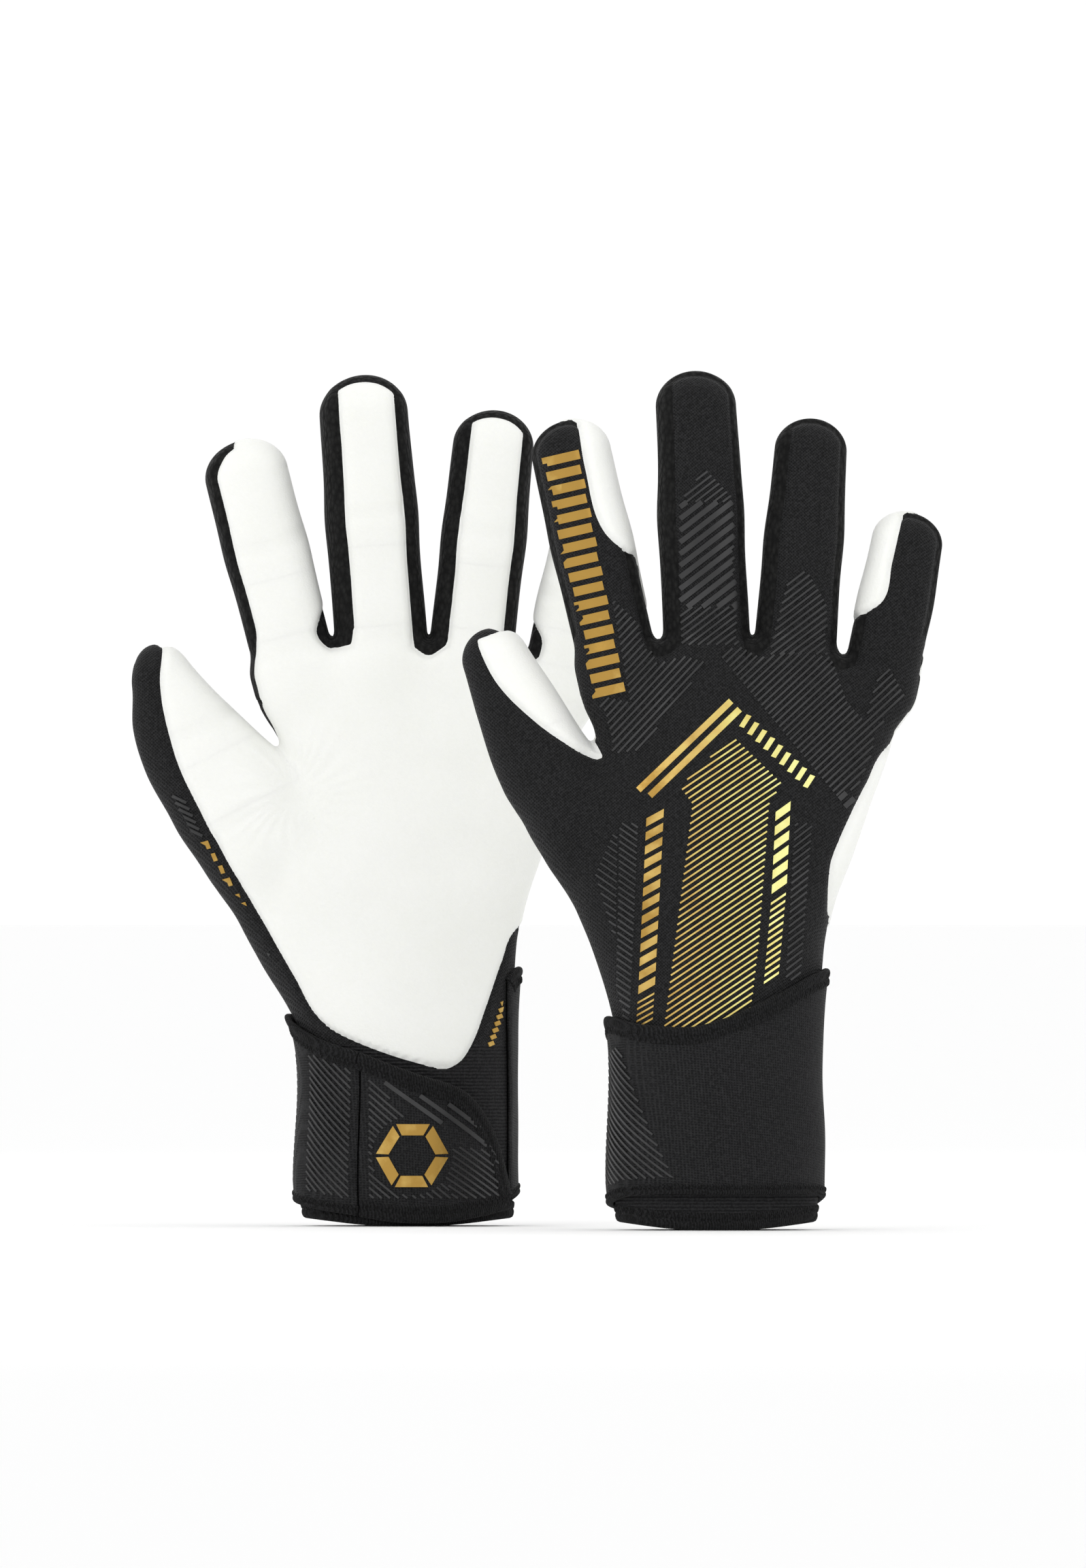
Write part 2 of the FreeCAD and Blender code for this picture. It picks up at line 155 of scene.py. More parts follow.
class Digit:
    """One finger or thumb: its line, widths and bends, read from the frame's joints."""

    def __init__(self, side, name, origin):
        palm = SIDES[side]
        root = joints[f"{side}_{name}_root_bend"]
        mid = joints[f"{side}_{name}_mid_bend"]
        self.side, self.name = side, name
        self.hand, self.base, self.tip = root["parent"], root["child"], mid["child"]
        self.root = np.array((root["pos_m"][0], root["pos_m"][2])) / MM - origin[[0, 2]]
        middle = np.array((mid["pos_m"][0], mid["pos_m"][2])) / MM - origin[[0, 2]]
        self.across = -palm * np.array((root["axis"][0], root["axis"][2]))
        self.along = np.array((-self.across[1], self.across[0]))
        self.bend = float(np.dot(middle - self.root, self.along))
        self.half_root, self.half_tip = WIDTHS[side][name]
        self.line = THUMB_LINE[side] if name == "thumb" else None
        self.flat = FLAT[name]
        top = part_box(f"{side}_{name}_tip_shell")[1].z / MM
        lean = self.along[1]
        self.length = (top - self.root[1] - self.half_tip * (1 - lean)) / lean
        first, reach = (1.0, 8) if name == "thumb" else (3.5, 9)
        split = self.bend - reach              # the root's bend ends here and the middle one starts
        self.first_bend = (first, split)
        self.second_bend = (split, min(self.bend + reach, self.length - 12))

    def local(self, x, z):
        """Across and along the digit."""
        a = (x - self.root[0]) * self.across[0] + (z - self.root[1]) * self.across[1]
        t = (x - self.root[0]) * self.along[0] + (z - self.root[1]) * self.along[1]
        return a, t

    def offset(self, t):
        """How far the digit's middle lies across from its straight line."""
        if self.line:
            return curve_through([(row[0], row[1]) for row in self.line], t)
        return 0 * t

    def half_width(self, t):
        if self.line:
            return curve_through([(row[0], row[2]) for row in self.line], t)
        s = np.clip(t / self.length, -0.3, 1)
        knuckle = 0.5 * np.exp(-((t - self.bend) / 9) ** 2)
        return self.half_root + (self.half_tip - self.half_root) * s + knuckle

    def distance(self, x, d, z):
        a, t = self.local(x, z)
        half = self.half_width(t)
        depth = half * self.flat
        if self.line:
            depth = curve_through([(row[0], row[3]) for row in self.line], t)
        a = a - self.offset(t)
        r = ((np.abs(a) / half) ** BULGE + (np.abs(d) / depth) ** BULGE) ** (1 / BULGE)
        round_tip = THUMB_TIP_ROUND if self.line else self.half_tip * 0.86
        over = np.maximum(t - (self.length - round_tip), 0) / round_tip
        start = 1 if self.name == "pinky" else -12
        under = np.maximum(start - t, 0) / ROOT_ROUND
        return (np.sqrt(r ** 2 + over ** 2 + under ** 2) - 1) * self.half_tip * self.flat


class Glove:
    """The whole outside of one glove, as a field that is 0 on the skin and negative inside."""

    def __init__(self, side):
        self.side, self.palm = side, SIDES[side]
        low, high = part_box(f"{side}_cuff_binding")
        self.origin = np.array(((low.x + high.x) / 2, (low.y + high.y) / 2, 0)) / MM
        self.digits = {name: Digit(side, name, self.origin) for name in DIGITS}

    def edges(self, z):
        radial = curve_through(RADIAL_EDGE[self.side], z)
        ulnar = curve_through(ULNAR_EDGE[self.side], z)
        return radial, ulnar, curve_through(HALF_DEPTH, z)

    def hand_distance(self, x, d, z):
        radial, ulnar, depth = self.edges(z)
        middle, half = (radial + ulnar) / 2, (ulnar - radial) / 2
        power = 2 + 0.5 * ramp(60, 110, z)
        r = ((np.abs(x - middle) / half) ** power + (np.abs(d) / depth) ** power) ** (1 / power)
        wall = (r - 1) * depth * 1.1
        return smooth_max(wall, z - curve_through(KNUCKLES, x), 6)

    def distance(self, x, d, z):
        fingers = self.digits["index"].distance(x, d, z)
        for name in FINGERS[1:]:
            fingers = smooth_min(fingers, self.digits[name].distance(x, d, z), 1.6)
        skin = smooth_min(self.hand_distance(x, d, z), fingers, 5)
        thumb = self.digits["thumb"]
        a, _ = thumb.local(x, z)
        return smooth_min(skin, thumb.distance(x, d, z), 3.5 + 7 * ramp(6, -8, a))

    def inset(self, x, z):
        """How far inside the outline a place is, seen from the front, in millimetres."""
        level, step = 0 * x, 0.5
        across = self.distance(x + step, level, z) - self.distance(x - step, level, z)
        up = self.distance(x, level, z + step) - self.distance(x, level, z - step)
        return -self.distance(x, level, z) / np.maximum(np.hypot(across, up), 0.2)

    def gradient(self, p, step=0.35):
        g = np.empty_like(p)
        for axis in range(3):
            q = np.zeros(3)
            q[axis] = step
            g[:, axis] = self.distance(*(p + q).T) - self.distance(*(p - q).T)
        return g / (np.linalg.norm(g, axis=1, keepdims=True) + 1e-9)

    def world(self, p):
        """Glove millimetres to the frame's metres."""
        return np.column_stack((p[:, 0] + self.origin[0], self.palm * p[:, 1] + self.origin[1], p[:, 2])) * MM


# ---------------------------------------------------------------- meshes as plain arrays
class Patch:
    """Triangles with rest points, shown points and normals, in glove millimetres."""

    def __init__(self, rest, shown, normal, faces):
        self.rest, self.shown, self.normal, self.faces = rest, shown, normal, faces

    def tidy(self):
        used, inverse = np.unique(self.faces, return_inverse=True)
        return Patch(self.rest[used], self.shown[used], self.normal[used], inverse.reshape(-1, 3))

    def split(self, value):
        """Cut along value = 0, given per point; gives back the parts where it is positive and negative."""
        value = np.where(np.abs(value) < 1e-4, 1e-4, value)
        above = value > 0
        count = above[self.faces].sum(1)
        kept_high = [self.faces[count == 3]]
        kept_low = [self.faces[count == 0]]
        mixed = self.faces[(count == 1) | (count == 2)]
        if not len(mixed):
            return self.part(kept_high[0]), self.part(kept_low[0])
        sign = above[mixed]
        lone_is_high = sign.sum(1) == 1
        lone = np.where(lone_is_high, sign.argmax(1), (~sign).argmax(1))
        rows = np.arange(len(mixed))
        a = mixed[rows, lone]
        b = mixed[rows, (lone + 1) % 3]
        c = mixed[rows, (lone + 2) % 3]
        pairs = np.concatenate((np.column_stack((a, b)), np.column_stack((a, c))))
        pairs.sort(axis=1)
        unique, where = np.unique(pairs, axis=0, return_inverse=True)
        where = where.reshape(-1)
        i, j = unique.T
        s = (value[i] / (value[i] - value[j]))[:, None]
        start = len(self.rest)
        arrays = [np.concatenate((v, v[i] * (1 - s) + v[j] * s))
                  for v in (self.rest, self.shown, self.normal)]
        ab, ac = where[:len(mixed)] + start, where[len(mixed):] + start
        tip = np.column_stack((a, ab, ac))
        quad = np.concatenate((np.column_stack((ab, b, c)), np.column_stack((ab, c, ac))))
        twice = np.concatenate((lone_is_high, lone_is_high))
        kept_high += [tip[lone_is_high], quad[~twice]]
        kept_low += [tip[~lone_is_high], quad[twice]]
        whole = Patch(*arrays, self.faces)
        return whole.part(np.concatenate(kept_high)), whole.part(np.concatenate(kept_low))

    def part(self, faces):
        return Patch(self.rest, self.shown, self.normal, faces).tidy() if len(faces) else None

    def thick(self, depth):
        """A closed solid: the patch, the same patch depth further in, and a rim between them."""
        count = len(self.rest)
        edges = np.concatenate([self.faces[:, [i, (i + 1) % 3]] for i in range(3)])
        key = edges.min(1) * count + edges.max(1)
        _, first, seen = np.unique(key, return_index=True, return_counts=True)
        rim = edges[first[seen == 1]]
        inner = self.shown - self.normal * depth
        sides = np.concatenate((np.column_stack((rim[:, 1], rim[:, 0], rim[:, 0] + count)),
                                np.column_stack((rim[:, 1], rim[:, 0] + count, rim[:, 1] + count))))
        faces = np.concatenate((self.faces, self.faces[:, ::-1] + count, sides))
        return Patch(np.tile(self.rest, (2, 1)), np.concatenate((self.shown, inner)),
                     np.concatenate((self.normal, -self.normal)), faces)


def closed_object(name, glove, solid, material):
    """A smooth Blender mesh from a patch that is already a closed solid."""
    points = glove.world(solid.shown)
    faces = solid.faces if glove.palm > 0 else solid.faces[:, ::-1]
    mesh = bpy.data.meshes.new(name)
    mesh.from_pydata(points.tolist(), [], faces.tolist())
    mesh.validate()
    mesh.polygons.foreach_set("use_smooth", np.ones(len(mesh.polygons), bool))
    mesh.materials.append(material)
    obj = bpy.data.objects.new(name, mesh)
    scene.collection.objects.link(obj)
    return obj


def make_object(name, glove, patch, depth, material):
    """A Blender mesh from an open patch, given its own thickness and normals that match its neighbours'."""
    solid = patch.thick(depth)
    obj = closed_object(name, glove, solid, material)
    normal = solid.normal * (1, glove.palm, 1)
    normal /= np.linalg.norm(normal, axis=1, keepdims=True) + 1e-9
    obj.data.normals_split_custom_set_from_vertices(normal.tolist())
    return obj


def mesh_field(low, high, step, distance):
    """Points and triangles where distance(x, d, z) is 0, from samples every step millimetres."""
    axes = [np.arange(bottom, top, step) for bottom, top in zip(low, high)]
    grids = [grid.ravel() for grid in np.meshgrid(*axes, indexing="ij")]
    volume = openvdb.FloatGrid(background=3 * step)
    volume.copyFromArray(distance(*grids).reshape([len(axis) for axis in axes]).astype(np.float32))
    points, _, quads = volume.convertToPolygons(isovalue=0.0)
    faces = np.concatenate((quads[:, [0, 1, 2]], quads[:, [0, 2, 3]])).astype(int)
    return points.astype(float) * step + low, faces


# ---------------------------------------------------------------- panels: where the seams run
# the latex's edge on the palm side: x by height on the hand, across by distance along a thumb
LATEX_RADIAL = {
    "left": ((50, 9), (51.5, 4), (53.5, -3), (58, -15.5), (62, -24), (66, -29), (79, -36.6),
             (97, -46.8), (118, -59), (141, -70.5)),
    "right": ((50, 9), (51.5, 4), (53.5, -3), (58, -13), (62, -20), (66, -25), (79, -31),
              (100, -39), (116, -49), (141, -62)),
}
LATEX_ULNAR = ((50, 13), (52, 16.5), (56.6, 20), (70, 25.4), (84, 30.4), (94, 35), (100, 44), (110, 60),
               (190, 90))
THUMB_LATEX = {
    "left": ((-20, -11.2), (-9, -12.3), (0, -12.9), (16, -12.9), (33, -10.6), (48, -6), (58, 0)),
    "right": ((-20, -10), (-9, -10), (16, -8.6), (33, -7), (46, -4), (52, 1)),
}
# where latex wraps round to the back: across by distance along the digit, and x by height on the hand
THUMB_WRAP = {
    "left": ((0, 23), (3, 19), (19, 6), (36, -5), (50, -9), (58, -9)),
    "right": ((0, 17), (2.5, 14), (10, 7.6), (18, 2.0), (33.6, -5.4), (46.7, -7), (52, -6)),
}
INDEX_WRAP = ((20, 22), (26, 13), (29, 9.5), (36, 4.8), (56, 3.6), (69, 4.4))
PINKY_WRAP = ((12, 22), (17, 12), (19.5, 8.2), (23.3, 4.5), (36, 3.8), (51, 3.3))
HAND_WRAP = ((94, 44), (97, 38), (100, 35.8), (110, 35.9), (116, 36.6), (126, 40.6), (134, 44.4), (140, 47.6),
             (152, 55), (160, 70))
# how far in from its edges each finger's latex, and its back panel, ends: radial side, ulnar side
LATEX_INSET = {"index": (4.6, 3.6), "middle": (6.2, 3.7), "ring": (5.0, 3.2), "pinky": (3.4, 3.2)}
BACK_INSET = {"index": (1.0, 2.2), "middle": (5.4, 1.6), "ring": (4.6, 1.4), "pinky": (3.0, 1.0)}
NEIGHBOUR = {"index": "middle", "middle": "ring", "ring": "middle", "pinky": "ring"}
TIP_RIM = 1.5                              # fabric showing above the latex at a fingertip
EDGE_STRIP = 3.3                           # fabric showing beside the latex on the index finger's outer side


def strip(a, low, high):
    return np.minimum(a - low, high - a)


def latex_field(glove, rest):
    """Positive on the latex, negative on the fabric, about in millimetres."""
    x, d, z = rest.T
    side = glove.side
    palm = np.minimum(strip(x, curve_through(LATEX_RADIAL[side], z), curve_through(LATEX_ULNAR, z)), z - 50)
    inset = glove.inset(x, z)
    outer = ramp(-18, -24, x)
    edge = EDGE_STRIP - 5.8 - 2.2 * ramp(172, 148, z) + 1.8 * ramp(147, 141, z)
    rim = inset - 3.2 - 2.6 * ramp(178, 190, z) - edge * outer
    rim += np.where(outer > 0.5, 60 * ramp(141, 137, z),
                    np.maximum(60 * ramp(166, 158, z), 14 * ramp(46, 50, x) * ramp(189, 168, z)))
    palm = np.minimum(palm, np.minimum(rim, 190 - z))
    wrap = np.minimum(x - curve_through(HAND_WRAP, z), strip(z, 95, 159))
    for name, digit in glove.digits.items():
        a, t = digit.local(x, z)
        if name == "thumb":
            inside = np.minimum(a - curve_through(THUMB_LATEX[side], t), strip(t, -18, digit.length - 1.5))
            over = np.minimum(a - curve_through(THUMB_WRAP[side], t), strip(t, 1, digit.length - 1.5))
            near = digit.half_width(t) + digit.offset(t) + 2.5 - a + 40 * ramp(2, -6, t)
            palm = np.maximum(palm, np.minimum(inside, near))
            wrap = np.maximum(wrap, np.minimum(over, near - 40 * ramp(2, -6, t)))
            continue
        half = digit.half_width(t)
        neighbour = glove.digits[NEIGHBOUR[name]]
        nearer = 1.2 * (neighbour.distance(x, d, z) - digit.distance(x, d, z))
        low_inset, high_inset = LATEX_INSET[name]
        low, high = -half + low_inset, half - high_inset
        end = np.minimum(t + 8, inset - TIP_RIM)
        if name == "index":
            low = low - 9
            thinner = (EDGE_STRIP - TIP_RIM) * ramp(-9, -2, a) * ramp(50, 58, t)
            end = np.minimum(t + 8, inset - EDGE_STRIP + thinner + 60 * ramp(-2, 7, a) * ramp(-1, 14, t))
            high = high + 9 * ramp(0, 17, t)
            over = np.minimum(strip(a, curve_through(INDEX_WRAP, t), half + 6), end)
            wrap = np.maximum(wrap, np.minimum(over, nearer))
        if name == "pinky":
            end = end + 60 * ramp(2, -7, a) * ramp(8, 19, t)
            low = low - 9 * ramp(9, 22, t)
            over = np.minimum(strip(-a, curve_through(PINKY_WRAP, t), half + 6), end)
            wrap = np.maximum(wrap, np.minimum(over, nearer))
        inside = np.minimum(strip(a, low, high), end)
        palm = np.maximum(palm, np.minimum(inside, nearer + 40 * ramp(3, -4, t)))
    to_palm = ramp(-1.6, 1.6, d)
    return palm * to_palm + wrap * (1 - to_palm)


def back_field(glove, rest):
    """Positive on the back panel, negative on the finger gussets."""
    x, d, z = rest.T
    inset = glove.inset(x, z)
    zone = np.full(len(x), -50.0)
    away = np.maximum(ramp(168, 158, z), np.maximum(ramp(-26, -32, x), ramp(50, 56, x)))
    crotch = inset - 4.0 - 1.4 * ramp(175, 187, z) + 60 * away
    strips = np.minimum(crotch, 187 - z)
    for name in FINGERS:
        digit = glove.digits[name]
        a, t = digit.local(x, z)
        half = digit.half_width(t)
        low_inset, high_inset = BACK_INSET[name]
        zone = np.maximum(zone, np.minimum(t + 15, half + 6 - np.abs(a)))
        panel = np.minimum(strip(a, -half + low_inset, half - high_inset), np.minimum(t + 6, inset - 0.8))
        strips = np.maximum(strips, panel)
    to_palm = ramp(-3.0, -0.5, d)
    strips = strips * (1 - to_palm) - 6 * to_palm
    return np.maximum(strips, -zone)


def waves(rest, size, seed):
    """Soft, fixed unevenness between about -1 and 1, with features of that size in millimetres."""
    generator = np.random.default_rng(seed)
    total = np.zeros(len(rest))
    for _ in range(7):
        direction = generator.normal(size=3)
        direction *= 2 * math.pi / size / np.linalg.norm(direction) * generator.uniform(0.6, 1.4)
        total += np.sin(rest @ direction + generator.uniform(0, 6.3))
    return total / 7 ** 0.5


def relief(glove, rest, latex, back):
    """How far the skin stands out (positive) or in from the smooth surface."""
    x, d, z = rest.T
    on_latex = ramp(-0.2, 0.6, latex)
    out = 0.55 * ramp(0.3, 3.5, latex) - 0.95 * np.exp(-(latex / 1.0) ** 2)
    seam = np.exp(-(back / 0.8) ** 2) * (1 - on_latex)
    out -= 0.8 * seam
    out += 0.22 * waves(rest, 26, 3) * (1 - np.exp(-(latex / 3) ** 2))
    thumb = glove.digits["thumb"]
    web = thumb.root + thumb.across * (thumb.half_root + 1)
    dx, dz = x - web[0] + 3, z - web[1] + 4
    radius = np.hypot(dx, dz)
    angle = np.arctan2(dz, dx)
    fan = np.sin(angle * 26 + 1.5 * np.sin(radius * 0.21) + 2 * np.sin(angle * 5))
    fade = np.exp(-((radius - 13) / 9) ** 2) * ramp(0, 4, d)
    out += 0.18 * fan * fade * on_latex
    for digit in glove.digits.values():
        a, t = digit.local(x, z)
        inside = ramp(3, 8, digit.half_width(t) - np.abs(a) + 6)
        for place, depth, width in ((digit.bend, 0.5, 2.0), (digit.bend + 2.5, 0.25, 1.2), (-2.0, 0.45, 2.6)):
            bowed = t - place - 0.012 * a ** 2 * (1 if place > 0 else -1)
            out -= depth * np.exp(-(bowed / width) ** 2) * inside * ramp(1, 6, d) * on_latex
    return out


def skin_patch(glove):
    """Mesh the whole glove once, and give every point its relief and normal."""
    rest, faces = mesh_field((-98.0, -31.0, -1.5), (78.0, 31.0, 276.0), VOXEL, glove.distance)
    for _ in range(2):                         # two steps towards the true surface
        rest -= glove.gradient(rest) * glove.distance(*rest.T)[:, None] * 0.9
    normal = glove.gradient(rest)
    shown = rest + normal * relief(glove, rest, latex_field(glove, rest), back_field(glove, rest))[:, None]
    return Patch(rest, shown, point_normals(shown, faces), faces)


def point_normals(points, faces):
    corner = points[faces]
    flat = np.cross(corner[:, 1] - corner[:, 0], corner[:, 2] - corner[:, 0])
    total = np.zeros_like(points)
    for i in range(3):
        np.add.at(total, faces[:, i], flat)
    return total / (np.linalg.norm(total, axis=1, keepdims=True) + 1e-12)


def nearest_field(glove, rest, name):
    """Positive where this digit is nearer than the hand's other parts, past the start of its bend."""
    x, d, z = rest.T
    own = glove.digits[name].distance(x, d, z)
    others = [digit.distance(x, d, z) for other, digit in glove.digits.items() if other != name]
    if name == "thumb":
        others.append(glove.hand_distance(x, d, z))
    _, t = glove.digits[name].local(x, z)
    return np.minimum(np.min(others, axis=0) - own, t - glove.digits[name].first_bend[0])


def by_body(glove, patch):
    """Split a patch into what stays with the hand and each digit's base and tip parts."""
    parts = []
    left = patch
    for name, digit in glove.digits.items():
        if left is None:
            break
        mine, left = left.split(nearest_field(glove, left.rest, name))
        if mine is None:
            continue
        tip, base = mine.split(digit.local(mine.rest[:, 0], mine.rest[:, 2])[1] - digit.first_bend[1])
        if base is not None:
            parts.append((digit, "base", base))
        if tip is not None:
            parts.append((digit, "tip", tip))
    if left is not None:
        parts.append((None, "hand", left))
    return parts


def on_axis(glove, digit, t):
    """A point on a digit's line, in the frame's metres."""
    x, z = digit.root + digit.along * t
    return tuple(glove.world(np.array(((x, 0.0, z),)))[0])


def join_body(obj, glove, digit, part):
    """Make a hand piece ride on the hand's body; a digit's piece is only baked where it stands."""
    if digit is None:
        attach(obj, f"{glove.side}_hand")
        return
    pair, bend = (digit.hand, digit.base), digit.first_bend
    if part == "tip":
        pair, bend = (digit.base, digit.tip), digit.second_bend
    on_axis(glove, digit, bend[0])
    on_axis(glove, digit, bend[1])
    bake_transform(obj)


# ---------------------------------------------------------------- finishes
class Finish:
    """A procedural material, built node by node in the frame's own metres."""

    def __init__(self, name, roughness, **values):
        self.material = bpy.data.materials.new(name)
        self.material.use_nodes = True
        self.tree = self.material.node_tree
        self.shader = self.tree.nodes["Principled BSDF"]
        self.shader.inputs["Roughness"].default_value = roughness
        self.shader.inputs["Specular IOR Level"].default_value = 0.14
        for key, value in values.items():
            self.shader.inputs[key.replace("_", " ")].default_value = value
        self.place = self.node("ShaderNodeTexCoord").outputs["Object"]
        self.normal = None

    def node(self, kind, inputs=(), **settings):
        made = self.tree.nodes.new(kind)
        for key, value in settings.items():
            setattr(made, key, value)
        for key, value in dict(inputs).items():
            if isinstance(value, bpy.types.NodeSocket):
                self.tree.links.new(value, made.inputs[key])
            else:
                made.inputs[key].default_value = value
        return made

    def noise(self, scale, detail=2.0):
        inputs = {"Vector": self.place, "Scale": scale, "Detail": detail}
        return self.node("ShaderNodeTexNoise", inputs).outputs[0]

    def cells(self, scale, stretch=(1, 1, 1)):
        place = self.node("ShaderNodeMapping", {"Vector": self.place, "Scale": stretch}).outputs[0]
        made = self.node("ShaderNodeTexVoronoi")
        self.tree.links.new(place, made.inputs["Vector"])
        made.inputs["Scale"].default_value = scale
        return made.outputs["Distance"]

    def math(self, operation, *values):
        return self.node("ShaderNodeMath", dict(enumerate(values)), operation=operation).outputs[0]

    def mix(self, a, share_a, b, share_b):
        return self.math("ADD", self.math("MULTIPLY", a, share_a), self.math("MULTIPLY", b, share_b))

    def lines(self, direction, pitch, wobble=0.0):
        """Ridges across a direction, from -1 to 1, repeating every pitch metres."""
        along = self.node("ShaderNodeVectorMath", {0: self.place, 1: direction}, operation="DOT_PRODUCT")
        phase = self.math("MULTIPLY", along.outputs["Value"], 2 * math.pi / pitch)
        return self.math("SINE", self.math("ADD", phase, wobble))

    def colours(self, value, *stops):
        """The base colour, from (place, colour) stops along a value."""
        made = self.node("ShaderNodeValToRGB", {0: value})
        ramp_stops = made.color_ramp.elements
        while len(ramp_stops) < len(stops):
            ramp_stops.new(1)
        for stop, (place, colour) in zip(ramp_stops, stops):
            stop.position = place
            stop.color = (*colour, 1)
        return made.outputs[0]

    def base(self, colour):
        self.tree.links.new(colour, self.shader.inputs["Base Color"])

    def bump(self, height, distance, strength=1.0):
        inputs = {"Height": height, "Distance": distance, "Strength": strength}
        if self.normal:
            inputs["Normal"] = self.normal
        self.normal = self.node("ShaderNodeBump", inputs).outputs[0]
        self.tree.links.new(self.normal, self.shader.inputs["Normal"])
        return self


def latex_finish():
    made = Finish("latex_foam", 0.66, Sheen_Weight=0.12, Sheen_Roughness=0.5)
    made.shader.inputs["Subsurface Weight"].default_value = 0.12
    made.shader.inputs["Subsurface Scale"].default_value = 0.002
    made.shader.inputs["Subsurface Radius"].default_value = (1.0, 1.0, 0.8)
    tone = made.mix(made.noise(38, 3), 0.7, made.noise(900, 2), 0.3)
    made.base(made.colours(tone, (0.3, (0.845, 0.852, 0.815)), (0.7, (0.885, 0.89, 0.862))))
    made.bump(made.noise(170, 3), 0.0004, 0.35)
    made.bump(made.cells(1500), 0.00012, 0.5)
    return made.material


BIAS = ((1, 0.35, 0.9), (-0.8, 0.3, 1))      # the two ways that a knit's ridges run


def woven_finish(name, dark, light, pitch, roughness=0.72, depth=0.00022, sheen=0.03, along=BIAS):
    """Two sets of crossing ridges, flecked with paler threads."""
    made = Finish(name, roughness, Sheen_Weight=sheen, Sheen_Roughness=0.45)
    warp = made.lines(along[0], pitch, made.math("MULTIPLY", made.noise(260, 2), 3.0))
    weft = made.lines(along[1], pitch * 1.15, made.math("MULTIPLY", made.noise(300, 2), 3.0))
    cloth = made.math("MAXIMUM", warp, made.math("MULTIPLY", weft, 0.8))
    tone = made.mix(cloth, 0.16, made.noise(1300, 3), 0.84)
    made.base(made.colours(tone, (0.34, dark), (0.66, light)))
    made.bump(made.noise(90, 2), 0.0005, 0.3)
    made.bump(cloth, depth, 0.8)
    made.bump(made.noise(2400, 2), 0.0001, 0.4)
    return made.material


def mesh_finish():
    made = Finish("gusset_mesh", 0.78, Sheen_Weight=0.03, Sheen_Roughness=0.5)
    holes = made.cells(760, (1, 0.9, 0.62))
    tone = made.mix(holes, 0.7, made.noise(1500, 2), 0.4)
    # the mesh is coloured darker than the back's knit: partly its own black and its holes, partly painted
    # shade of the pockets between the fingers
    made.base(made.colours(tone, (0.25, (0.013, 0.013, 0.0125)), (0.7, (0.003, 0.003, 0.003))))
    made.bump(made.math("MULTIPLY", holes, -1.0), 0.0006, 0.9)
    return made.material


def ribbed_finish(name, dark, light, direction, pitch, roughness=0.8):
    made = Finish(name, roughness, Sheen_Weight=0.03, Sheen_Roughness=0.4)
    ribs = made.lines(direction, pitch, made.math("MULTIPLY", made.noise(420, 2), 2.0))
    tone = made.math("ADD", made.math("MULTIPLY", ribs, 0.12), made.noise(1600, 3))
    made.base(made.colours(tone, (0.36, dark), (0.66, light)))
    made.bump(ribs, 0.0002, 0.8)
    made.bump(made.noise(1900, 2), 0.00016, 0.6)
    return made.material


def pile_finish():
    made = Finish("hook_and_loop_pile", 0.9, Sheen_Weight=0.1, Sheen_Roughness=0.6)
    tufts = made.cells(1400)
    made.base(made.colours(tufts, (0.15, (0.03, 0.03, 0.031)), (0.75, (0.006, 0.006, 0.006))))
    made.bump(made.math("MULTIPLY", tufts, -1.0), 0.0008, 1.0)
    return made.material


def gel_finish():
    made = Finish("raised_gel", 0.36, Coat_Weight=0.2, Coat_Roughness=0.3)
    made.shader.inputs["Specular IOR Level"].default_value = 0.35
    made.base(made.colours(made.noise(60, 3), (0.35, (0.012, 0.012, 0.0125)), (0.65, (0.028, 0.028, 0.029))))
    made.bump(made.noise(1100, 2), 0.00005, 0.4)
    return made.material


FOIL_CENTRES = {"left": -0.0402, "right": 0.0571}   # x of each glove's middle, in metres; the foil's painted highlight and shade run from these


def foil_finish():
    """Gold, brushed and a little crazed; its colour turns from orange on the thumb's side to yellow on the
    other and is blotched: painted highlight and shade on the metal.
    """
    made = Finish("gold_foil", 0.34, Metallic=0.85)
    made.shader.inputs["Specular IOR Level"].default_value = 0.5
    across = made.node("ShaderNodeSeparateXYZ", {0: made.place}).outputs["X"]
    from_right = made.math("ADD", across, -FOIL_CENTRES["right"])
    from_left = made.math("ADD", across, -FOIL_CENTRES["left"])
    nearest = made.math("MINIMUM", made.math("ABSOLUTE", from_right), made.math("ABSOLUTE", from_left))
    is_right = made.math("LESS_THAN", made.math("ABSOLUTE", from_right), made.math("ADD", nearest, 1e-5))
    # painted highlight and shade: on the right glove the colour runs across it from its middle; the left
    # glove's stays near the dark orange end
    highlight_run = made.mix(is_right, from_right, made.math("SUBTRACT", 1.0, is_right), -0.03)
    # blotches of painted highlight and shade on the foil
    fine = made.math("MULTIPLY", made.math("SUBTRACT", made.noise(150, 4), 0.5), 0.9)
    tone = made.math("ADD", made.math("MULTIPLY_ADD", highlight_run, 16.0, 0.5), fine)
    made.base(made.colours(tone, (0.05, (0.42, 0.25, 0.055)), (0.35, (0.66, 0.46, 0.14)),
                           (0.60, (0.74, 0.62, 0.19)), (0.90, (0.88, 0.86, 0.34))))
    made.bump(made.noise(1500, 3), 0.00008, 0.6)
    return made.material


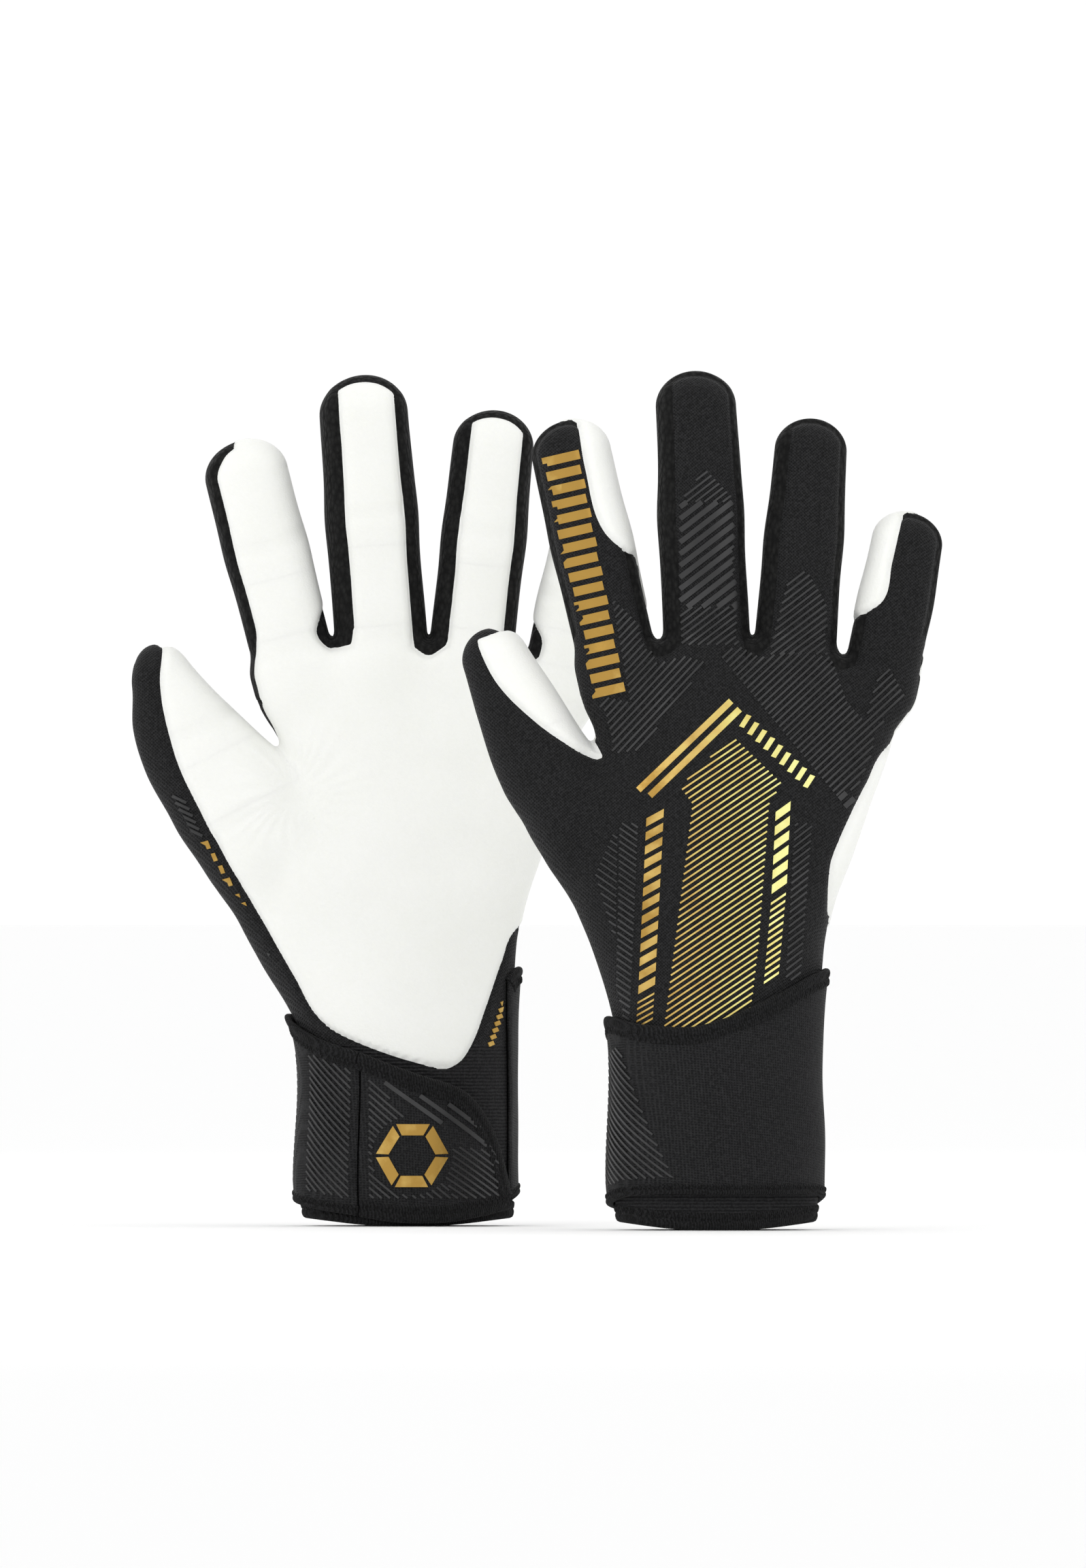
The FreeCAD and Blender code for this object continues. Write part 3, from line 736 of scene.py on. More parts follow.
BLACK, CHARCOAL = (0.0065, 0.0065, 0.007), (0.016, 0.016, 0.017)
finish = {
    "latex": latex_finish(),
    "back": woven_finish("backhand_knit", (0.005, 0.005, 0.0052), (0.024, 0.024, 0.025), 0.0009),
    "gusset": mesh_finish(),
    "lining": woven_finish("brushed_lining", BLACK, CHARCOAL, 0.0016, 0.9, 0.0001, 0.12),
    "cuff": ribbed_finish("cuff_elastic", BLACK, (0.022, 0.022, 0.023), (0, 0, 1), 0.0011),
    "strap": woven_finish("strap_elastic", (0.0055, 0.0055, 0.006), (0.021, 0.021, 0.022), 0.0008, 0.7,
                          0.00018, 0.03, ((0.1, 0.1, 1), (1, 0.6, 0.05))),
    "binding": ribbed_finish("overlocked_binding", (0.004, 0.004, 0.004), (0.017, 0.017, 0.018),
                             (0.8, 0.6, 0.1), 0.0007),
    "pile": pile_finish(),
    "gel": gel_finish(),
    "foil": foil_finish(),
}


# ---------------------------------------------------------------- prints: thin bars laid on a surface
class Face:
    """The back (-1) or palm (1) of a glove, as a height over x and z that prints can lie on."""
    STEP = 1.0

    def __init__(self, glove, facing):
        self.glove, self.facing = glove, facing
        self.xs = np.arange(-94.0, 79.0, self.STEP)
        self.zs = np.arange(40.0, 273.0, self.STEP)
        x, z = (grid.ravel() for grid in np.meshgrid(self.xs, self.zs, indexing="ij"))
        near, far = np.zeros(len(x)), np.full(len(x), 28.0)
        outside = glove.distance(x, near, z) > -1.2
        for _ in range(13):
            middle = (near + far) / 2
            inside = glove.distance(x, facing * middle, z) < 0
            near, far = np.where(inside, middle, near), np.where(inside, far, middle)
        rest = np.column_stack((x, facing * near, z))
        height = near + relief(glove, rest, latex_field(glove, rest), back_field(glove, rest))
        height[outside] = np.nan
        self.height = height.reshape(len(self.xs), len(self.zs))

    def at(self, x, z):
        i = np.clip((x - self.xs[0]) / self.STEP, 0, len(self.xs) - 1.001)
        j = np.clip((z - self.zs[0]) / self.STEP, 0, len(self.zs) - 1.001)
        i0, j0 = i.astype(int), j.astype(int)
        u, v = i - i0, j - j0
        h = self.height
        return ((h[i0, j0] * (1 - u) + h[i0 + 1, j0] * u) * (1 - v)
                + (h[i0, j0 + 1] * (1 - u) + h[i0 + 1, j0 + 1] * u) * v)

    def lay(self, x, z):
        slope_x = (self.at(x + 0.9, z) - self.at(x - 0.9, z)) / 1.8
        slope_z = (self.at(x, z + 0.9) - self.at(x, z - 0.9)) / 1.8
        normal = np.column_stack((-slope_x, np.full(len(x), float(self.facing)), -slope_z))
        normal /= np.linalg.norm(normal, axis=1, keepdims=True)
        return np.column_stack((x, self.facing * self.at(x, z), z)), normal


def orient(points, normal, faces):
    corner = points[faces]
    flat = np.cross(corner[:, 1] - corner[:, 0], corner[:, 2] - corner[:, 0])
    wrong = (flat * normal[faces].mean(1)).sum(1) < 0
    faces[wrong] = faces[wrong][:, ::-1]
    return faces


def grid_faces(index):
    """Triangles between the points of a numbered grid."""
    a, b = index[:-1, :-1].ravel(), index[1:, :-1].ravel()
    c, d = index[1:, 1:].ravel(), index[:-1, 1:].ravel()
    return np.concatenate((np.column_stack((a, b, c)), np.column_stack((a, c, d))))


class Print:
    """Bars drawn flat, then laid on a surface as one raised film."""

    def __init__(self):
        self.points, self.faces, self.count = [], [], 0

    def bar(self, a, b, c, d, step=1.4):
        """The bar a-b-c-d, where a to b is a long side and d to c the other."""
        a, b, c, d = (np.array(corner, float) for corner in (a, b, c, d))
        n = max(1, math.ceil(np.linalg.norm(b - a) / step))
        m = max(1, math.ceil(np.linalg.norm(d - a) / step))
        s = np.linspace(0, 1, n + 1)[:, None, None]
        r = np.linspace(0, 1, m + 1)[None, :, None]
        grid = (a * (1 - s) + b * s) * (1 - r) + (d * (1 - s) + c * s) * r
        index = np.arange((n + 1) * (m + 1)).reshape(n + 1, m + 1) + self.count
        self.points.append(grid.reshape(-1, 2))
        self.faces.append(grid_faces(index))
        self.count += (n + 1) * (m + 1)

    def stroke(self, start, end, width):
        start, end = np.array(start, float), np.array(end, float)
        length = np.linalg.norm(end - start) + 1e-9
        side = np.array((end[1] - start[1], start[0] - end[0])) / length * width / 2
        self.bar(start - side, end - side, end + side, start + side)

    def hatch(self, outline, angle, pitch, width, least=1.2, clear=None):
        """Parallel strokes inside an outline, kept out of a circle given as (u, v, radius)."""
        outline = np.array(outline, float)
        along = np.array((math.cos(math.radians(angle)), math.sin(math.radians(angle))))
        over = np.array((-along[1], along[0]))
        heights = outline @ over
        for level in np.arange(heights.min() + pitch / 2, heights.max(), pitch):
            cuts = []
            for i in range(len(outline)):
                p, q = outline[i], outline[(i + 1) % len(outline)]
                hp, hq = p @ over - level, q @ over - level
                if hp * hq < 0:
                    cuts.append((p + (q - p) * hp / (hp - hq)) @ along)
            cuts.sort()
            for low, high in zip(cuts[::2], cuts[1::2]):
                spans = [(low, high)]
                if clear:
                    middle = np.array(clear[:2])
                    reach = clear[2] ** 2 - (middle @ over - level) ** 2
                    if reach > 0:
                        near, far = middle @ along - reach ** 0.5, middle @ along + reach ** 0.5
                        spans = [(low, min(high, near)), (max(low, far), high)]
                for near, far in spans:
                    if far - near > least:
                        self.stroke(along * near + over * level, along * far + over * level, width)

    def ladder(self, rail, other, count, rise, fill):
        """Slanted blocks between two straight rails, each given by its two ends."""
        rail, other = np.array(rail, float), np.array(other, float)
        for i in range(count):
            s = np.array((i, i + fill)) / count
            near = [rail[0] + (rail[1] - rail[0]) * v for v in s]
            far = [other[0] + (other[1] - other[0]) * v + (0, rise) for v in s]
            self.bar(near[0], far[0], far[1], near[1])

    def film(self, surface, lift, keep=None):
        points = np.concatenate(self.points)
        faces = np.concatenate(self.faces).astype(int)
        rest, normal = surface.lay(points[:, 0], points[:, 1])
        good = np.isfinite(rest).all(1) & np.isfinite(normal).all(1)
        if keep:
            good &= keep(points[:, 0], points[:, 1])
        faces = faces[good[faces].all(1)]
        rest, normal = np.nan_to_num(rest), np.nan_to_num(normal)
        faces = orient(rest, normal, faces)
        return Patch(rest, rest + normal * lift, normal, faces).tidy()


def back_gold(glove):
    """A hatched panel with a pointed top between two dashed rails, and bars along the index finger."""
    made = Print()
    made.hatch(((-16.6, 62), (9.5, 62), (11.3, 74), (13.4, 92), (16.5, 134), (20.5, 140.5), (5.05, 155.4),
                (-11.5, 139.5), (-7.5, 134)), 34, 1.72, 0.5)
    made.ladder(((-22.0, 129.5), (-24.6, 72.5)), ((-16.5, 129.5), (-19.4, 72.5)), 13, 3.0, 0.60)
    made.ladder(((-24.7, 71.8), (-25.3, 62)), ((-19.5, 71.8), (-20.1, 62)), 5, 3.0, 0.32)
    made.ladder(((18.6, 131.5), (17.2, 104)), ((23.3, 131.5), (22.0, 104)), 6, 3.4, 0.62)
    made.ladder(((17.1, 103), (14.7, 76)), ((21.8, 103), (19.4, 76)), 12, 3.2, 0.36)
    for shift in (0.0, 3.6):               # two solid lines up the left of the top, blocks down its right
        made.stroke((-24.5 + shift, 138.4 - shift * 0.5), (4.6 + shift * 0.75, 166.4 - shift * 0.72), 2.0)
    for i in range(9):
        x, z = 8.6 + 2.5 * i, 160.4 - 2.36 * i
        made.bar((x - 1.5, z - 1.9), (x + 0.9, z + 1.8), (x + 2.4, z + 1.2), (x, z - 2.5))
    index = glove.digits["index"]
    for i in range(17):                    # bars across the index finger, nearer its outer side at the root
        t = 61.0 - 4.65 * i
        centre, half = -3.2 - 0.035 * (61 - t), 5.9 - 0.5 * (i % 2)
        made.bar(*(index.root + index.across * (centre + a) + index.along * (t + b)
                   for a, b in ((-half, -1.5), (half, -1.5), (half, 1.4), (-half, 1.4))))
    return made


# outline, angle, pitch and width of each field of raised lines on the back
GEL_FIELDS = (
    (((-11.3, 229), (-3.7, 239.6), (6.2, 229)), 38, 1.75, 0.6),
    (((-11.3, 196), (-11.3, 229), (6.2, 229), (7.4, 196)), 38, 2.9, 1.6),
    (((-10.8, 184), (-11.3, 196), (7.4, 196), (7.0, 184)), 38, 1.75, 0.6),
    (((16.5, 181), (22.5, 204), (28.5, 207.5), (34.4, 197), (35.6, 181)), 38, 1.75, 0.6),
    (((0.5, 181.5), (7, 183.5), (14, 180), (24, 182), (36, 180), (41, 166), (46.6, 160), (50, 172),
      (54, 177.5), (61.3, 164), (54, 146), (38.2, 136)), 43, 1.75, 0.6),
    (((38.2, 136), (54, 146), (47.5, 134), (42.2, 130.5)), 43, 2.9, 1.6),
    (((-33, 199), (-24, 190), (-18.5, 178), (-10.2, 180.5), (-3, 178.5), (-24, 151), (-38.5, 149), (-36, 168),
      (-27, 166)), 47, 1.75, 0.6),
    (((-30.4, 128), (-24.6, 128), (-27.2, 66), (-31.5, 66)), -35, 1.7, 0.55),
    (((24.6, 128), (30, 128), (26.3, 80), (21.6, 78)), 38, 1.7, 0.55),
    (((-38, 112), (-31, 128), (-31.6, 90)), -35, 1.9, 0.5),
)


def gel_lines(fields, clear=None):
    made = Print()
    for outline, angle, pitch, width in fields:
        made.hatch(outline, angle, pitch, width, clear=clear)
    return made


def palm_gold(glove):
    """Small blocks on the fabric beside the thumb's latex, and a row of tiny dashes near the wrist."""
    made = Print()
    for i in range(6):
        z = 121.5 - 3.9 * i
        x = float(curve_through(LATEX_RADIAL[glove.side], z)) - 6.0 + 0.7 * i / 5
        made.bar((x, z), (x + 3.4, z + 0.9), (x + 4.4, z - 1.5), (x + 1.0, z - 2.4))
    for i in range(12):
        x, z = 34.0 - 0.66 * i, 82.5 - 2.15 * i
        made.bar((x, z), (x - 1.6, z - 0.7), (x - 1.1, z - 1.9), (x + 0.5, z - 1.2))
    return made


def palm_gel(glove):
    made = Print()
    for i in range(26):
        z = 136 - 2.1 * i
        if 100 < z < 124:                  # the gold blocks sit here
            continue
        x = float(curve_through(LATEX_RADIAL[glove.side], z))
        made.stroke((x - 6.6, z + 0.6), (x - 2.2, z - 1.6), 0.8)
    return made


# ---------------------------------------------------------------- the wrist strap, unrolled
HINGE = 235                                # degrees round: 0 is the little finger's side, 90 the back
BAND_TOP = ((-14, 78.2), (-9, 80.6), (0, 82), (20, 80), (35, 76), (60, 70.4), (87, 65.8), (112, 63.6),
            (145, 64.5), (172, 67), (184, 65), (198, 61.5), (214, 58), (235, 55))
BAND_BOTTOM = ((-14, 8), (0, 10), (30, 11.5), (90, 11.5), (150, 11), (180, 8), (235, 3.4))
FLAP_TOP = ((235, 55), (248, 52.6), (282, 47.2), (298, 45), (310, 42), (322, 35), (332, 25), (341, 9.5))
FLAP_BOTTOM = ((235, 3.4), (262, 1.6), (290, 1.4), (320, 3.4), (341, 6.0))
PEEL_FOLD = ((-20.6, 22.6, 28.0), (-13.0, 22.6, 28.0))     # two points by the strap's end, in glove millimetres
# raised lines on the strap, as on the back but over u and v, and the hexagon ring on its end
BAND_GEL = (
    (((-19.5, 9.5), (-19.5, 55), (-12, 52.6), (-3, 49.5), (-3, 9)), -42, 1.7, 0.6),
    (((-66, 14), (-43, 58), (-32, 54), (-32, 14)), 35, 1.8, 0.6),
)
END_GEL = (
    (((4, 9), (3, 48), (20, 30), (30, 9)), -40, 1.7, 0.6),
    (((30, 9), (24, 26), (44, 24), (55, 17), (58, 9)), -34, 1.7, 0.6),
    (((4, 47), (24, 44), (50, 27), (56, 14), (48, 21), (22, 35)), -36, 3.0, 1.3),
)
RING_IN, RING_OUT, RING_CLEAR = 7.2, 11.2, 12.6


class Wrist:
    """The strap's course: u runs round the wrist in millimetres from the hinge, v is the height."""

    def __init__(self, glove):
        self.glove = glove
        self.turn = np.radians(np.linspace(-140, 500, 1281))
        ring = self.ring(self.turn, 30.0, 2.0)
        step = np.hypot(np.diff(ring[0]), np.diff(ring[1]))
        self.length = np.concatenate(([0], np.cumsum(step)))
        self.length -= np.interp(math.radians(HINGE), self.turn, self.length)

    def ring(self, turn, z, out):
        radial, ulnar, depth = self.glove.edges(z)
        middle, half = (radial + ulnar) / 2, (ulnar - radial) / 2
        power = 2 + 0.5 * ramp(60, 110, z)
        cosine, sine = np.cos(turn), np.sin(turn)
        r = ((np.abs(cosine) / half) ** power + (np.abs(sine) / depth) ** power) ** (-1 / power)
        nx, nd = cosine / half ** 2, sine / depth ** 2
        size = np.hypot(nx, nd)
        return middle + r * cosine + out * nx / size, -(r * sine + out * nd / size)

    def u(self, degrees):
        return np.interp(np.radians(degrees), self.turn, self.length)

    def table(self, rows):
        return [(float(self.u(degrees)), value) for degrees, value in rows]

    def at(self, u, v, out):
        x, d = self.ring(np.interp(u, self.length, self.turn), v, out)
        return np.stack((x, d, v + 0 * x), axis=-1)

    def outer(self, u):
        """How far the strap's outside stands off the skin: thin where it starts, thicker on the flap."""
        band = 1.55 + 1.05 * ramp(self.u(-10), self.u(14), u)
        return band + 1.5 * ramp(2, 16, u)

    def lay(self, u, v):
        """Points and normals on the strap's outside, for prints. A horizontal normal is near enough."""
        point = self.at(u, v, self.outer(u))
        ahead = self.at(u + 0.5, v, self.outer(u + 0.5)) - self.at(u - 0.5, v, self.outer(u - 0.5))
        normal = np.column_stack((ahead[:, 1], -ahead[:, 0], 0 * u))
        normal /= np.linalg.norm(normal, axis=1, keepdims=True)
        outward = (normal * (point - (0, 0, 1) * point)).sum(1)
        normal[outward < 0] *= -1
        return point, normal


def grid_patch(points, loop_u=False, loop_v=False):
    """Points, normals and triangles of a grid of points, closed along u or v where asked."""
    n, m = points.shape[:2]
    index = np.arange(n * m).reshape(n, m)
    if loop_u:
        index = np.vstack((index, index[:1]))
    if loop_v:
        index = np.hstack((index, index[:, :1]))
    faces = grid_faces(index)
    flat = points.reshape(-1, 3)
    return flat, point_normals(flat, faces), faces


def facing_out(points, normal, faces, outward):
    """A patch, turned over if its normals point to the wrist's middle, that is if outward is negative."""
    if outward < 0:
        faces, normal = faces[:, ::-1], -normal
    return Patch(points, points, normal, faces)


def cut_size(top, bottom, low, high):
    """The flat size in metres, and area, of the strap between two places along it."""
    us = np.linspace(low, high, 80)
    tall = (curve_through(top, us) - curve_through(bottom, us)) * MM
    long = (high - low) * MM
    return (float(tall.max()), float(long)), float(tall.mean() * long)


def strap_sheet(wrist, start, end, top, bottom):
    """One length of the strap, from start to end round the wrist."""
    us = np.arange(start, end, 0.9)
    us[-1] = end
    rows = np.linspace(0, 1, 44)
    high, low = curve_through(top, us)[:, None], curve_through(bottom, us)[:, None]
    v = low + (high - low) * rows[None, :]
    u = us[:, None] + 0 * v
    edge = np.minimum(np.minimum(v - low, high - v), np.minimum(u - start, end - u) + 0.2)
    out = wrist.outer(u) - 0.45 * np.exp(-(edge / 0.7) ** 2)
    rest = np.stack((u, v, 0 * u), axis=-1).reshape(-1, 3)
    out = out + 0.22 * waves(rest, 30, 11).reshape(u.shape) * ramp(0, 6, edge)
    points, normal, faces = grid_patch(wrist.at(u, v, out))
    return facing_out(points, normal, faces, (normal * points * (1, 1, 0)).sum())


# the binding's section: distance in from the edge and height off the strap, over the top and back underneath;
# its rows 10 to 13 lie on the fold and show which way is out
SECTION = ([(w, 0.10 + 0.42 * math.sin(math.pi * min(1, max(0, (5.2 - w) / 2.6)) ** 0.8))
            for w in np.linspace(5.2, 2.7, 9)]
           + [(2.3, 0.3), (1.9, 0.42), (1.4, 0.46), (0.9, 0.44), (0.4, 0.32), (0.0, 0.08), (-0.3, -0.4),
              (-0.36, -1.0), (-0.1, -1.7), (0.8, -2.0), (2.6, -1.2), (5.0, -0.7)])


def binding_tube(wrist, path, width=1.0, closed=False, inward=1):
    """Overlocked tape folded over an edge: fine ribs on the fold, a zigzag row of thread beside it."""
    path = np.array(path, float)
    step = np.hypot(*np.diff(path, axis=0).T)
    run = np.concatenate(([0], np.cumsum(step)))
    count = int(run[-1] / 0.25)
    s = np.linspace(0, run[-1], count + 1)[:(-1 if closed else None)]
    u, v = np.interp(s, run, path[:, 0]), np.interp(s, run, path[:, 1])
    tu, tv = np.gradient(u, s), np.gradient(v, s)
    if closed:
        tu, tv = np.ones_like(s), np.zeros_like(s)
    kernel = np.ones(9) / 9
    if not closed:
        tu = np.convolve(np.pad(tu, 4, "edge"), kernel, "valid")
        tv = np.convolve(np.pad(tv, 4, "edge"), kernel, "valid")
    size = np.hypot(tu, tv)
    nu, nv = tv / size * inward, -tu / size * inward
    zig = np.abs((s / 1.9) % 1 - 0.5) * 4 - 1
    rows = []
    for w, lift in SECTION:
        lift = lift + 0 * s
        if lift[0] > 0 and w < 2.4:
            lift = lift + 0.09 * np.sin(2 * math.pi * s / 0.8 + w)
        elif lift[0] > 0:
            lift = lift * 0.6 + 0.34 * np.exp(-((w - 3.9 - 0.85 * zig) / 0.42) ** 2)
        at_u, at_v = u + nu * w * width, np.maximum(v + nv * w * width, 0.02)
        rows.append(wrist.at(at_u, at_v, wrist.outer(at_u) + lift))
    points, normal, faces = grid_patch(np.stack(rows, axis=1), loop_u=closed, loop_v=True)
    if not closed:
        n, m = len(s), len(SECTION)
        first, last = np.arange(m), np.arange(m) + (n - 1) * m
        for ring, flip in ((first, 1), (last, -1)):
            fan = np.column_stack((np.full(m - 2, ring[0]), ring[1:-1], ring[2:]))[:, ::flip]
            faces = np.concatenate((faces, fan))
    upper = (normal * points * (1, 1, 0)).reshape(len(s), len(SECTION), 3)[:, 10:14]
    return facing_out(points, normal, faces, upper.sum())


# ---------------------------------------------------------------- putting a glove together
PANEL_DEPTH = {"latex": 2.6, "back": 1.4, "gusset": 1.2, "cuff": 1.4, "lining": 0.8}
CUFF_TOP = 57.5
LINING_IN, LINING_FOOT = 3.2, 4.5          # how far the lining lies in from the skin, and where it starts
TOP_HEM, FOOT_HEM = 5.3, 4.6               # how far the strap's binding reaches in from its edges
HEM_LIFT = 2.4                             # the hem's sides stand this much higher than its middle
HAND_NODES = {"latex": "palm_latex", "back": "backhand", "gusset": "side_gussets"}
DIGIT_NODES = {"latex": "latex", "back": "shell"}     # a digit's gussets are part of its shell


def node_for(side, kind, digit, part):
    """The CAD node that a panel stands for, if any."""
    if digit is None:
        return f"{side}_{HAND_NODES[kind]}"
    return f"{side}_{digit.name}_{part}_{DIGIT_NODES[kind]}" if kind in DIGIT_NODES else None


def build_skin(glove):
    side = glove.side
    skin = skin_patch(glove)
    skin, _ = skin.split(skin.rest[:, 2] - 1.6 - HEM_LIFT * np.clip(np.abs(skin.rest[:, 0]) / 33, 0, 1) ** 3)
    latex, fabric = skin.split(latex_field(glove, skin.rest))
    back, gusset = fabric.split(back_field(glove, fabric.rest))
    back, cuff = back.split(back.rest[:, 2] - CUFF_TOP)
    for kind, patch in (("latex", latex), ("back", back), ("gusset", gusset)):
        for digit, part, piece in by_body(glove, patch):
            owner = digit.name + "_" + part if digit else "hand"
            obj = make_object(f"{side}_{owner}_{kind}_panel", glove, piece, PANEL_DEPTH[kind], finish[kind])
            join_body(obj, glove, digit, part)
            node = node_for(side, kind, digit, part)
            if node in frame["nodes"]:
                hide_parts(node)
    obj = make_object(f"{side}_cuff_tube", glove, cuff, PANEL_DEPTH["cuff"], finish["cuff"])
    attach(obj, f"{side}_hand")
    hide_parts(f"{side}_cuff")


def build_prints(glove):
    side = glove.side
    back, palm = Face(glove, -1), Face(glove, 1)
    for label, drawn, surface, kind, lift in (("back_gold", back_gold(glove), back, "foil", 0.16),
                                              ("back_gel", gel_lines(GEL_FIELDS), back, "gel", 0.30),
                                              ("edge_gold", palm_gold(glove), palm, "foil", 0.42),
                                              ("edge_gel", palm_gel(glove), palm, "gel", 0.50)):
        patch = drawn.film(surface, lift)
        for digit, part, piece in by_body(glove, patch):
            owner = digit.name + "_" + part if digit else "hand"
            obj = make_object(f"{side}_{owner}_{label}", glove, piece, lift + 0.2, finish[kind])
            join_body(obj, glove, digit, part)


def build_strap(glove):
    side, wrist = glove.side, Wrist(glove)
    hand, flap = f"{side}_hand", f"{side}_flap"
    start, end = glove.world(np.array(PEEL_FOLD))

    def place(obj, kind, on_flap):
        if on_flap:
            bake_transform(obj)
        else:
            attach(obj, hand)
        return obj

    first, last = float(wrist.u(-14)), float(wrist.u(341))
    band_top, band_bottom = wrist.table(BAND_TOP), wrist.table(BAND_BOTTOM)
    flap_top, flap_bottom = wrist.table(FLAP_TOP), wrist.table(FLAP_BOTTOM)
    band = strap_sheet(wrist, first, -0.3, band_top, band_bottom)
    band = place(make_object(f"{side}_strap_band", glove, band, 1.3, finish["strap"]), "strap", False)
    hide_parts(f"{side}_strap")
    end_part = strap_sheet(wrist, 0.3, last, flap_top, flap_bottom)
    end_part = place(make_object(f"{side}_strap_end", glove, end_part, 1.8, finish["strap"]), "strap", True)
    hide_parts(f"{side}_strap_flap")
    with_band, with_end = [], []

    def edge(table, low, high):
        us = np.arange(low, high, 0.8)
        return np.column_stack((us, curve_through(table, us)))

    for label, table, low, high, inward, width, on_flap in (
            ("band_top", band_top, first, -0.2, 1, 1.0, False),
            ("band_foot", band_bottom, first, -0.2, -1, 0.6, False),
            ("end_top", flap_top, 0.2, last, 1, 1.0, True),
            ("end_foot", flap_bottom, 0.2, last, -1, 1.0, True)):
        tube = binding_tube(wrist, edge(table, low, high), width, inward=inward)
        obj = closed_object(f"{side}_{label}_binding", glove, tube, finish["binding"])
        place(obj, "binding", on_flap)
        (with_end if on_flap else with_band).append(obj)

    middle = np.array((float(wrist.u(266)) + 3.2, 22.5))
    gel_band, gel_end, gold = gel_lines(BAND_GEL), gel_lines(END_GEL, (*middle, RING_CLEAR)), Print()
    for i in range(6):
        turns = [math.radians(60 * i + 3), math.radians(60 * i + 57)]
        a, b = (np.array((math.cos(turn), math.sin(turn))) for turn in turns)
        gold.bar(*(middle + way for way in (a * RING_IN, b * RING_IN, b * RING_OUT, a * RING_OUT)))

    def within(top, bottom, end):
        return lambda u, v: ((v < curve_through(top, u) - TOP_HEM) & (v > curve_through(bottom, u) + FOOT_HEM)
                             & (u < end))

    for label, drawn, kind, on_flap, lift, keep in (
            ("band_gel", gel_band, "gel", False, 0.3, within(band_top, band_bottom, -1.5)),
            ("end_gel", gel_end, "gel", True, 0.3, within(flap_top, flap_bottom, last - 5.4)),
            ("end_gold", gold, "foil", True, 0.2, None)):
        patch = drawn.film(wrist, lift, keep)
        obj = place(make_object(f"{side}_{label}", glove, patch, lift + 0.3, finish[kind]), kind, on_flap)
        (with_end if on_flap else with_band).append(obj)

    us = np.linspace(float(wrist.u(-130)), float(wrist.u(230)), 761)
    hem = Wrist(glove)
    hem.outer = lambda u: 0.15 + 0 * u
    turn = np.interp(us, hem.length, hem.turn)
    path = np.column_stack((us, 0.4 + HEM_LIFT * np.abs(np.cos(turn)) ** 3))
    tube = binding_tube(hem, path, 1.0, closed=True, inward=-1)
    obj = place(closed_object(f"{side}_hem_binding", glove, tube, finish["binding"]), "binding", False)
    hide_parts(f"{side}_cuff_binding")
    for pad, start_u, end_u, out, on_flap in (("loop_pad", 9.0, 44.0, 0.9, False),
                                              ("hook_pad", 14.0, 46.0, 1.7, True)):
        tall = [(start_u, 38), (end_u, 27)]
        layer = Wrist(glove)
        layer.outer = lambda u, out=out: out + 0 * u
        patch = strap_sheet(layer, start_u, end_u, tall, [(start_u, 9), (end_u, 9)])
        obj = place(make_object(f"{side}_{pad}_pile", glove, patch, 0.7, finish["pile"]), "pile", on_flap)
        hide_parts(f"{side}_{pad}")
        if on_flap:
            with_end.append(obj)
    for obj, top, bottom, low, high, others in ((band, band_top, band_bottom, first, 0, with_band),
                                                (end_part, flap_top, flap_bottom, 0, last, with_end)):
        flat, area = cut_size(top, bottom, low, high)


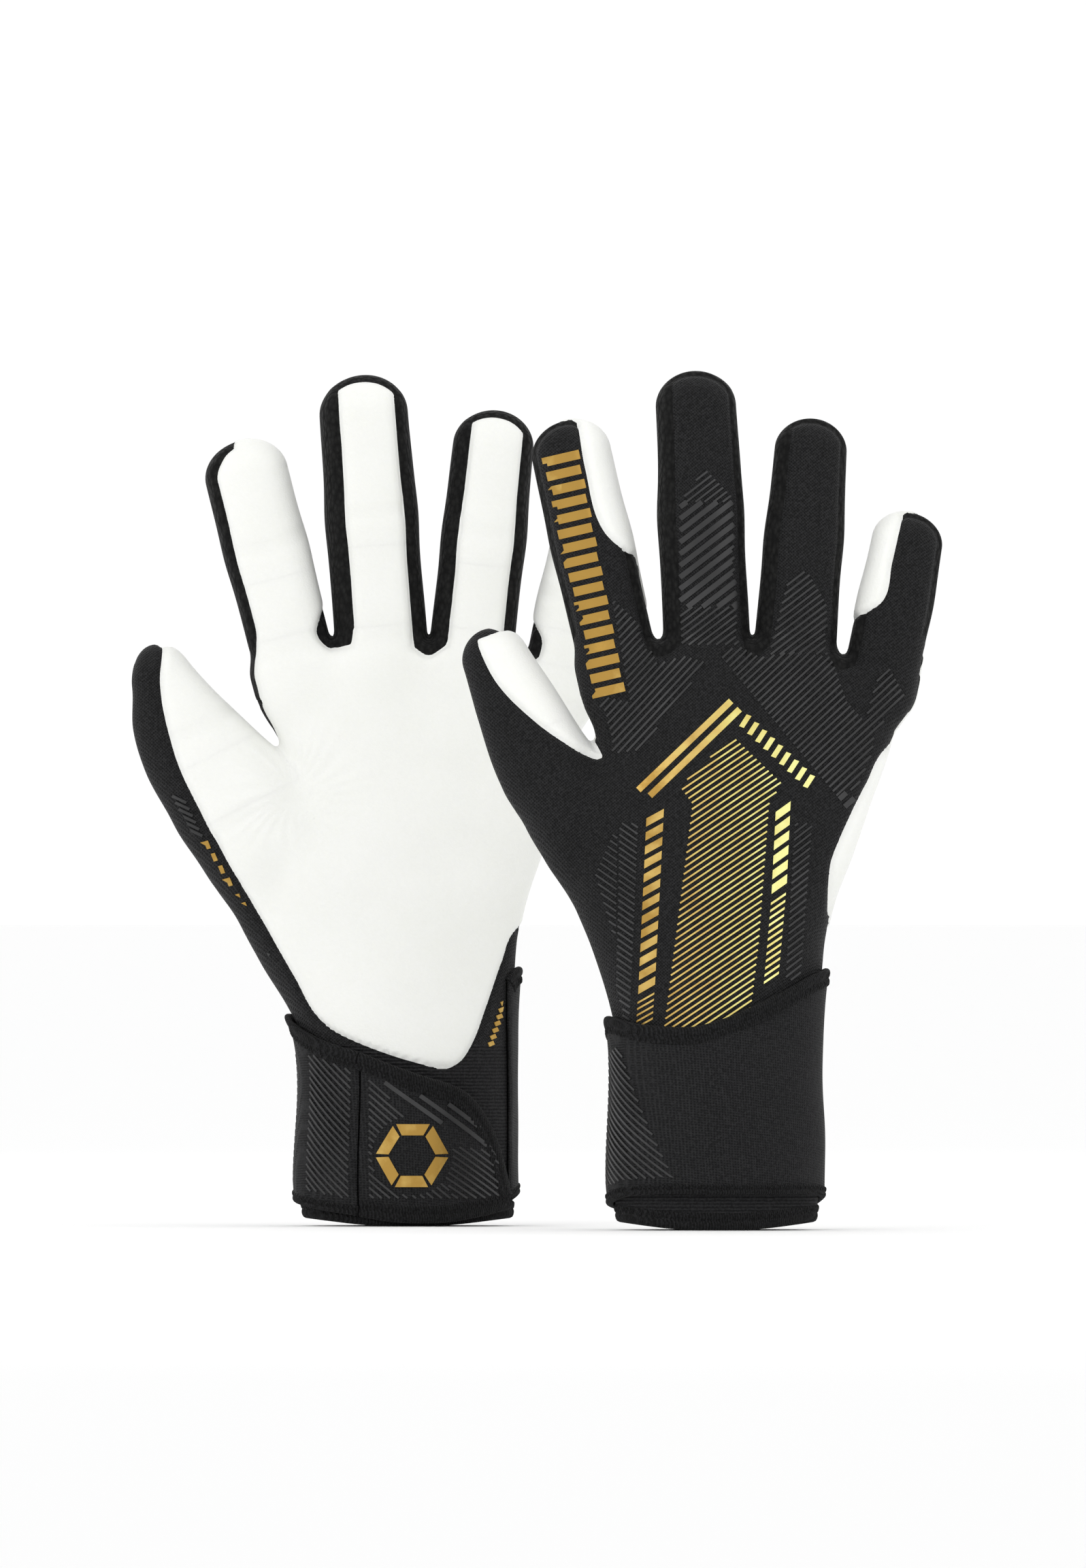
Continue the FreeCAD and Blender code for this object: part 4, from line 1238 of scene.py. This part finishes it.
def build_lining(glove):
    """The brushed lining inside the hand, one thickness in from the panels."""
    rest, faces = mesh_field((-70.0, -26.0, 3.0), (70.0, 26.0, 178.0), 2 * VOXEL,
                             lambda x, d, z: glove.hand_distance(x, d, z) + LINING_IN)
    patch = Patch(rest, rest, point_normals(rest, faces), faces)
    patch, _ = patch.split(patch.rest[:, 2] - LINING_FOOT)
    obj = make_object(f"{glove.side}_hand_lining", glove, patch, PANEL_DEPTH["lining"], finish["lining"])
    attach(obj, f"{glove.side}_hand")
    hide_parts(f"{glove.side}_lining")


for side in SIDES:
    glove = Glove(side)
    build_skin(glove)
    build_lining(glove)
    build_prints(glove)
    build_strap(glove)


# ---------------------------------------------------------------- studio
CAMERA_AWAY, VIEW_HEIGHT = 14.0, 0.4957    # metres: a long lens far away, and how much height it sees


def studio():
    white = bpy.data.materials.new("studio_paper")
    white.use_nodes = True
    shader = white.node_tree.nodes["Principled BSDF"]
    shader.inputs["Base Color"].default_value = (0.96, 0.96, 0.96, 1)
    shader.inputs["Roughness"].default_value = 0.9
    mesh = bpy.data.meshes.new("paper_floor")
    mesh.from_pydata([(-30, -30, 0), (30, -30, 0), (30, 30, 0), (-30, 30, 0)], [], [(0, 1, 2, 3)])
    mesh.materials.append(white)
    floor = bpy.data.objects.new("paper_floor", mesh)
    scene.collection.objects.link(floor)

    world = bpy.data.worlds.new("studio_light")
    world.use_nodes = True
    world.node_tree.nodes["Background"].inputs[0].default_value = (1, 1, 1, 1)
    world.node_tree.nodes["Background"].inputs[1].default_value = 1.02
    scene.world = world
    for name, place, aim, size, power in (("key", (-1.1, -2.0, 1.5), (0, 0, 0.14), 1.2, 9.0),
                                          ("fill", (1.5, -1.8, 0.7), (0, 0, 0.14), 1.5, 2.5),
                                          ("back", (-0.4, 2.0, 1.4), (0, 0, 0.14), 1.5, 4.0)):
        light = bpy.data.lights.new(name, "AREA")
        light.energy, light.size = power, size
        obj = bpy.data.objects.new(name, light)
        obj.location = place
        obj.rotation_euler = (Vector(aim) - Vector(place)).to_track_quat("-Z", "Y").to_euler()
        scene.collection.objects.link(obj)

    camera = bpy.data.objects.new("camera", bpy.data.cameras.new("camera"))
    scene.collection.objects.link(camera)
    camera.location = (0.0026, -CAMERA_AWAY, 0.1403)
    camera.rotation_euler = (math.pi / 2, 0, 0)
    camera.data.sensor_width = 36
    camera.data.lens = camera.data.sensor_width * CAMERA_AWAY / VIEW_HEIGHT
    camera.data.clip_end = 100
    scene.camera = camera
    scene.view_settings.view_transform = "Standard"


studio()
